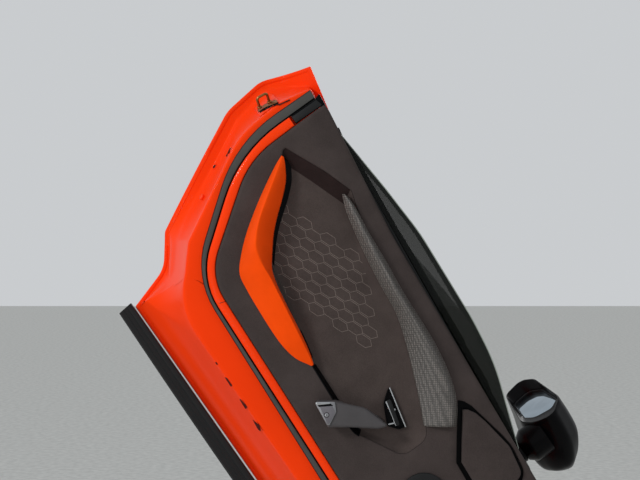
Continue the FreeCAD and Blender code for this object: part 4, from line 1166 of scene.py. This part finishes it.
def striker():
    """Plate with a bar and a black strip below it as a painted shadow, and the wire loop that stands on it;
    bar and wire are tinted bronze as a painted reflection of the orange paint
    """
    base = Sheet()
    base.block(PLATE, shut_y(-3), shut_y(1.6), 1.2)
    # Black strip below the bar: painted shadow
    base.block(STRIKER_SHADOW, shut_y(1), shut_y(2), 0.3, 1)
    base.block(STRIKER_BASE, shut_y(1), shut_y(3.4), 0.8, 2)
    base.finish("striker_base", ["frame_paint", "gloss_black", "bronze"], slot="black_plastic", sharp=35,
                replaced=["striker_plate"])
    along = (STRIKER_HIGH - STRIKER_LOW).normalized()
    bend = 2 * STRIKER_WIRE
    path = [STRIKER_LOW + SHUT_NORMAL * 4]
    quarter = np.linspace(0, math.pi / 2, 7)
    for foot, inward, turns in ((STRIKER_LOW, along, quarter), (STRIKER_HIGH, -along, quarter[::-1])):
        for turn in turns:
            path.append(foot + SHUT_NORMAL * (STRIKER_REACH - bend + bend * math.sin(turn))
                        + inward * (bend - bend * math.cos(turn)))
    path.append(STRIKER_HIGH + SHUT_NORMAL * 4)
    loop = Sheet()
    loop.wire(path, STRIKER_WIRE, along.cross(SHUT_NORMAL))
    collar = [(0, 5.2), (2.4, 5.2), (3.2, 4.2), (3.4, 3.2)]
    for foot in (STRIKER_LOW, STRIKER_HIGH):
        loop.turned(foot + SHUT_NORMAL * 3, SHUT_NORMAL, collar, steps=24)
    # Bronze tint of the chrome wire: painted reflection of the orange paint
    loop.finish("striker_wire", ["bronze"], slot="steel", replaced=["striker_loop"])


def plugs():
    """Blind plugs in the shut face, each a pad with a raised rim, the upper one with a dark disc in its middle
    as painted shade of an opening
    """
    sheet = Sheet()
    for u, v in PLUGS:
        seat = Vector((u, v, shut_y(0)(u, v)))
        sheet.turned(seat - PLUG_NORMAL * 4, PLUG_NORMAL,
                     [(0, 6), (5, 6), (5.7, 5.5), (5.8, 4.6), (5.1, 4.1), (4.9, 0.5)], steps=28)
        if (u, v) == PLUGS[0]:
            # Dark disc in the plug's middle: painted shade of a hole
            sheet.turned(seat + PLUG_NORMAL * 1.6, PLUG_NORMAL, [(0, 4.4), (0.4, 4.4), (0.5, 3.8)], 1)
    sheet.finish("plugs", ["frame_paint", "dark_slit"], slot="black_plastic", sharp=35,
                 replaced=["shut_buffers"])


# Openings pressed in the frame, drawn as dark pads on its face as painted shade: two slots at the rear, which
# stand further off, and two at the sill
REAR_SLOTS = ([(-168, 491.5, 0.6), (-163, 517, 0.6), (-160.6, 516.6, 0.6), (-165.4, 491, 0.6)],
              [(-142.2, 344, 0.6), (-151.4, 361.4, 0.6), (-153.6, 360.4, 0.6), (-144.6, 343, 0.6)])
SILL_SLOTS = ([(191.6, 82.4, 0.8), (191.6, 85, 0.8), (214, 85, 0.8), (214, 82.4, 0.8)],
              [(221, 81, 0.8), (221, 84, 0.8), (278.7, 84.6, 2), (369.4, 83, 1), (369.4, 75, 1),
               (278.7, 80, 2)])


def pressed_marks():
    # Each slot is a dark pad standing off the frame: painted shade of an opening
    sheet = Sheet()
    for slots, off, edge in ((REAR_SLOTS, 1.1, 0.3), (SILL_SLOTS, 0.35, 0.4)):
        for corners in slots:
            sheet.block(corners, pressed_y(-1.5), pressed_y(off), edge)
    sheet.finish("pressed_slots", ["dark_slit"], slot="frame_paint", sharp=35)


# Corner block at the rear top, and the black cover between it and the glass
CORNER = [(-131.9, 499, 2), (-132.4, 560, 3), (-114.2, 565, 3), (-114.2, 499, 2)]
CORNER_LINE = [(-131.6, 500.5, 0.8), (-131.6, 559, 0.8), (-129.6, 559, 0.8), (-129.6, 500.5, 0.8)]
CORNER_COVER = [(-132.6, 556.6, 1), (-137.2, 573, 1.5), (-109, 570.6, 1.5), (-113.6, 559.6, 1)]


def corner_pieces():
    """Corner block with a gloss line down its edge, and the cover above it"""
    sheet = Sheet()
    sheet.block(CORNER, -GAP, 2 - ACCENT_HEIGHT, 1.6, back=True)
    sheet.block(CORNER_LINE, 3 - ACCENT_HEIGHT, 1.7 - ACCENT_HEIGHT, 0.4, 1)
    sheet.finish("corner_pad", ["black_plastic", "gloss_black"], slot="gloss_black", sharp=35,
                 replaced=["corner_block"])
    cover = Sheet()
    cover.block(CORNER_COVER, 6, -9, 1.2, back=True)
    cover.finish("corner_cover", ["gloss_black"], sharp=35)


class DOOR_OT_shut_face(BuildStep, bpy.types.Operator):
    """Build the striker, the plugs, the pressed slots and the corner pieces"""

    bl_idname = "door.shut_face"
    bl_label = "Shut face"
    pieces = (striker, plugs, pressed_marks, corner_pieces)


# Belt pieces on each side of the glass, and the speaker grille
MOULD = [(-60, 564.2, 0.8), (-60, 569, 0.8), (20, 553.5, 300), (690, 493, 0.8), (690, 488.6, 0.8),
         (20, 548.6, 300)]
BELT_SEAL = [(-70, 559, 0.8), (-70, 566, 0.8), (20, 551.5, 300), (690, 487, 0.8), (690, 480, 0.8),
             (20, 544.5, 300)]
GRILLE = [(620, 170, 40), (604, 322, 50), (740, 332, 50), (800, 170, 50)]
GRILLE_HEIGHT = 27
SLOT_COUNT = 8
SLOT_PITCH = 15
SLOT_WIDTH = 5
# Rear and front end of the slots, and the lowest slot's lower edge
SLOT_ENDS = (640, 772)
SLOT_START = 196


def belt_pieces():
    sheet = Sheet()
    sheet.block(MOULD, 56, 36, 0.6, back=True)
    sheet.finish("belt_strip", ["gloss_black"], sharp=35, replaced=["belt_moulding"])
    lip = Sheet()
    lip.block(BELT_SEAL, 12, 0, 1, back=True)
    lip.finish("belt_lip", ["black_rubber"], slot="seal_rubber", sharp=35, replaced=["belt_seal"])


def speaker_grille():
    """Cover with long slots across it"""
    sheet = Sheet()
    top = -GRILLE_HEIGHT
    loops = [sheet.edge(GRILLE, [(0, -TRIM_HEIGHT - GAP), (0, top + 1.4), (0.5, top + 0.4), (1.6, top)])[1]]
    rear, front = SLOT_ENDS
    for i in range(SLOT_COUNT):
        low = SLOT_START + SLOT_PITCH * i
        high = low + SLOT_WIDTH
        slot = [(rear, low, 2.2), (rear, high, 2.2), (front, high, 2.2), (front, low, 2.2)]
        floor, mouth = sheet.edge(slot, [(0, top + 2), (0, top + 0.4), (-0.4, top)])
        sheet.cap(floor, 1)
        loops.append(mouth)
    sheet.fill(loops, 12, lambda u, v: top)
    sheet.finish("grille_cover", ["black_plastic", "gloss_black"], sharp=35, replaced=["speaker_grille"])


class DOOR_OT_fittings(BuildStep, bpy.types.Operator):
    """Build the belt strips and the speaker grille"""

    bl_idname = "door.fittings"
    bl_label = "Belt strips and grille"
    pieces = (belt_pieces, speaker_grille)


# Mirror head: its rear face and pane as distance along the face, height and corner radius
FACE = [(11, 533, 50), (-29, 555, 50), (-49, 598, 24), (5, 635.5, 50), (155, 622, 50), (192, 595, 24),
        (172, 545, 25)]
MIRROR_PANE = [(34, 547, 30), (1, 564, 30), (-10, 603, 16), (18, 626, 22), (112, 618, 30), (152, 593, 20),
               (138, 549, 20)]
PANE_LEAN = 0.09
PANE_ROOM = 1.06
# Depth behind the rear face, then the section's share of the face across and upright, and its drop
SHELL = [(0, 1, 1, 0), (45, 1, 1.1, 6), (90, 0.96, 1.17, 15), (130, 0.86, 0.92, 20), (152, 0.66, 0.5, 15)]
SHELL_CENTRE = (70, 575)
MIRROR_AT = (688, 175)
MIRROR_TOE = math.radians(16)
FOLD = (734, 500, 178)
UPWARD = (0, 1, 0)
# Arm from the skin to the fold's hub: depth, then its rear, front, lower and upper faces
ARM = [(40, 700, 768, 458, 482), (100, 702, 766, 466, 490), (170, 708, 760, 474, 494)]


def on_mirror(corners, depth, across=1, upright=1, drop=0, lean=0):
    """Points round a section of the mirror head, scaled about its centre"""
    middle, centre_v = SHELL_CENTRE
    points = []
    for along, v in outline(corners, side_steps=6):
        deep = depth + lean * along
        wide = middle + (along - middle) * across
        points.append((MIRROR_AT[0] - math.sin(MIRROR_TOE) * wide + math.cos(MIRROR_TOE) * deep,
                       centre_v + (v - centre_v) * upright - drop,
                       MIRROR_AT[1] + math.cos(MIRROR_TOE) * wide + math.sin(MIRROR_TOE) * deep))
    return points


def pane_rings(profile):
    """Rings round the mirror's pane at rows of (depth, share of the pane's size)"""
    return [on_mirror(MIRROR_PANE, depth, share, share, 0, PANE_LEAN) for depth, share in profile]


def mirror_head():
    """Shell from the pane's well over its rim and back to its nose, and the hub that it folds on"""
    sheet = Sheet()
    rows = pane_rings([(17, PANE_ROOM), (3.4, PANE_ROOM), (1.4, PANE_ROOM + 0.02)])
    for section in ((1.5, 0.955, 0.93), (0, 0.975, 0.965), (0.6, 0.99, 0.985), (3, 1, 0.998, 0.2)):
        rows.append(on_mirror(FACE, *section))
    for depth, across, upright, drop in smooth_rows(SHELL, 6):
        if 5 < depth < 151:
            rows.append(on_mirror(FACE, depth, across - 0.004, upright - 0.006, drop))
    for section in ((151.4, 0.56, 0.4, 15), (152, 0.4, 0.28, 15)):
        rows.append(on_mirror(FACE, *section))
    sheet.cap(sheet.rings(rows)[1])
    u, v, y = FOLD
    hub = [(0, 23), (0.6, 25.4), (3, 28.4), (9, 33), (15, 37.5), (18, 39.4), (24, 40), (60, 40)]
    sheet.turned((u, v + GAP, y), UPWARD, hub, steps=48)
    sheet.finish("mirror_head", ["gloss_black"], body="mirror", replaced=["mirror_housing"])


def mirror_face():
    """Rim and silvered pane"""
    bezel = Sheet()
    bezel.rings(pane_rings([(14, PANE_ROOM - 0.01), (4.6, PANE_ROOM - 0.01), (4, PANE_ROOM - 0.016),
                            (4, 1.018), (4.8, 1.01), (14, 1.01)]))
    bezel.finish("mirror_rim", ["black_plastic"], body="mirror", sharp=35, replaced=["mirror_bezel"])
    pane = Sheet()
    pane.solid(pane_rings([(12, 0.99), (11.5, 0.998), (9, 0.998), (8.2, 0.99), (8, 0.975)]))
    pane.finish("mirror_pane", ["mirror_silver"], body="mirror", sharp=35, replaced=["mirror_glass"])


def mirror_arm():
    """Arm from the skin, and the hub that the head folds on"""
    sheet = Sheet()
    rows = []
    for y, u0, u1, v0, v1 in smooth_rows(ARM, 4):
        around = outline([(u0, v0, 7), (u0, v1, 7), (u1, v1, 7), (u1, v0, 7)], side_steps=5)
        rows.append([(u, v, max(y, skin_y(u, v) + GAP)) for u, v in around])
    sheet.cap(sheet.rings(rows)[1])
    u, v, y = FOLD
    hub = [(0, 22), (0.5, 24.6), (2, 26), (13, 26), (13.6, 25.2), (14.4, 25.2), (15, 26), (24, 26),
           (25.6, 25.2), (26, 23.6)]
    sheet.turned((u, v - 26, y), UPWARD, hub, steps=48)
    sheet.finish("mirror_stem", ["gloss_black"], sharp=35, replaced=["mirror_base"])


class DOOR_OT_mirror(BuildStep, bpy.types.Operator):
    """Build the mirror's head, rim, pane and arm"""

    bl_idname = "door.mirror"
    bl_label = "Mirror"
    pieces = (mirror_head, mirror_face, mirror_arm)


class DOOR_OT_glass(BuildStep, bpy.types.Operator):
    """Build the window glass"""

    bl_idname = "door.glass"
    bl_label = "Window glass"
    pieces = (window_glass,)


# Lamps: name, place, width and power
LAMPS = (("key", (-3.4, -2.4, 2.4), 0.8, 58), ("fill", (-2.6, -3.0, -0.3), 1.6, 16),
         ("rear", (0.6, 3.2, 2.6), 2.2, 40))
LAMPS_MEET = Vector((-0.6, 0, 0.6))
SKY_COLOUR = "#E6E9EC"
SKY_STRENGTH = 0.74
FLOOR_REACH = 30
SENSOR_WIDTH = 36


def place_object(name, data, spot):
    """An object of the studio at its place"""
    thing = bpy.data.objects.new(name, data)
    thing.location = spot
    bpy.context.scene.collection.objects.link(thing)
    return thing


def studio_floor():
    mesh = bpy.data.meshes.new("studio_floor")
    reach = FLOOR_REACH
    mesh.from_pydata([(-reach, -reach, 0), (reach, -reach, 0), (reach, reach, 0), (-reach, reach, 0)], [],
                     [(0, 1, 2, 3)])
    mesh.materials.append(finish_material("studio_floor"))
    place_object("studio_floor", mesh, (0, 0, -place().floor_drop))


def lights():
    world = bpy.data.worlds.new("studio")
    bpy.context.scene.world = world
    world.use_nodes = True
    sky = world.node_tree.nodes["Background"]
    sky.inputs["Color"].default_value = linear(SKY_COLOUR)
    sky.inputs["Strength"].default_value = SKY_STRENGTH
    for name, spot, wide, watts in LAMPS:
        lamp = bpy.data.lights.new(name, "AREA")
        lamp.shape = "DISK"
        lamp.size = wide
        lamp.energy = watts
        holder = place_object(name, lamp, spot)
        holder.rotation_euler = (LAMPS_MEET - Vector(spot)).to_track_quat("-Z", "Y").to_euler()


def camera():
    """Camera at the photograph's angle, looking straight at the door's inner side"""
    door = place()
    lens = bpy.data.cameras.new("camera")
    lens.sensor_width = SENSOR_WIDTH
    lens.lens = door.camera_distance / door.pixel_size / PICTURE_WIDTH * SENSOR_WIDTH
    view = place_object("camera", lens, (door.pivot_x + door.camera_x, -door.camera_distance, door.camera_z))
    view.rotation_euler = (math.radians(90), 0, 0)
    bpy.context.scene.camera = view
    bpy.context.scene.view_settings.view_transform = "Standard"


class DOOR_OT_stage(BuildStep, bpy.types.Operator):
    """Add the floor, the lights and the camera"""

    bl_idname = "door.stage"
    bl_label = "Stage"
    pieces = (studio_floor, lights, camera)


class DOOR_PT_panel(bpy.types.Panel):
    """Lists the steps, sizes and colours of the door"""

    bl_idname = "DOOR_PT_panel"
    bl_label = "Scissor Door"
    bl_space_type = "VIEW_3D"
    bl_region_type = "UI"
    bl_category = "Scissor Door"

    def draw(self, context):
        for step in STEPS:
            self.layout.operator(step.bl_idname)
        for group in (context.scene.door_place, context.scene.door_colours):
            for name in group.__annotations__:
                self.layout.prop(group, name)


STEPS = (DOOR_OT_finish_solids, DOOR_OT_panels, DOOR_OT_strips, DOOR_OT_trim, DOOR_OT_armrest,
         DOOR_OT_controls, DOOR_OT_shut_face, DOOR_OT_fittings, DOOR_OT_mirror, DOOR_OT_glass, DOOR_OT_stage)
CLASSES = (DoorPlace, DoorColours, *STEPS, DOOR_PT_panel)


def register():
    for cls in CLASSES:
        bpy.utils.register_class(cls)
    bpy.types.Scene.door_place = PointerProperty(type=DoorPlace)
    bpy.types.Scene.door_colours = PointerProperty(type=DoorColours)


def unregister():
    del bpy.types.Scene.door_colours
    del bpy.types.Scene.door_place
    for cls in reversed(CLASSES):
        bpy.utils.unregister_class(cls)


def main():
    register()
    for step in STEPS:
        group, name = step.bl_idname.split(".")
        getattr(getattr(bpy.ops, group), name)()


if __name__ == "__main__":
    main()
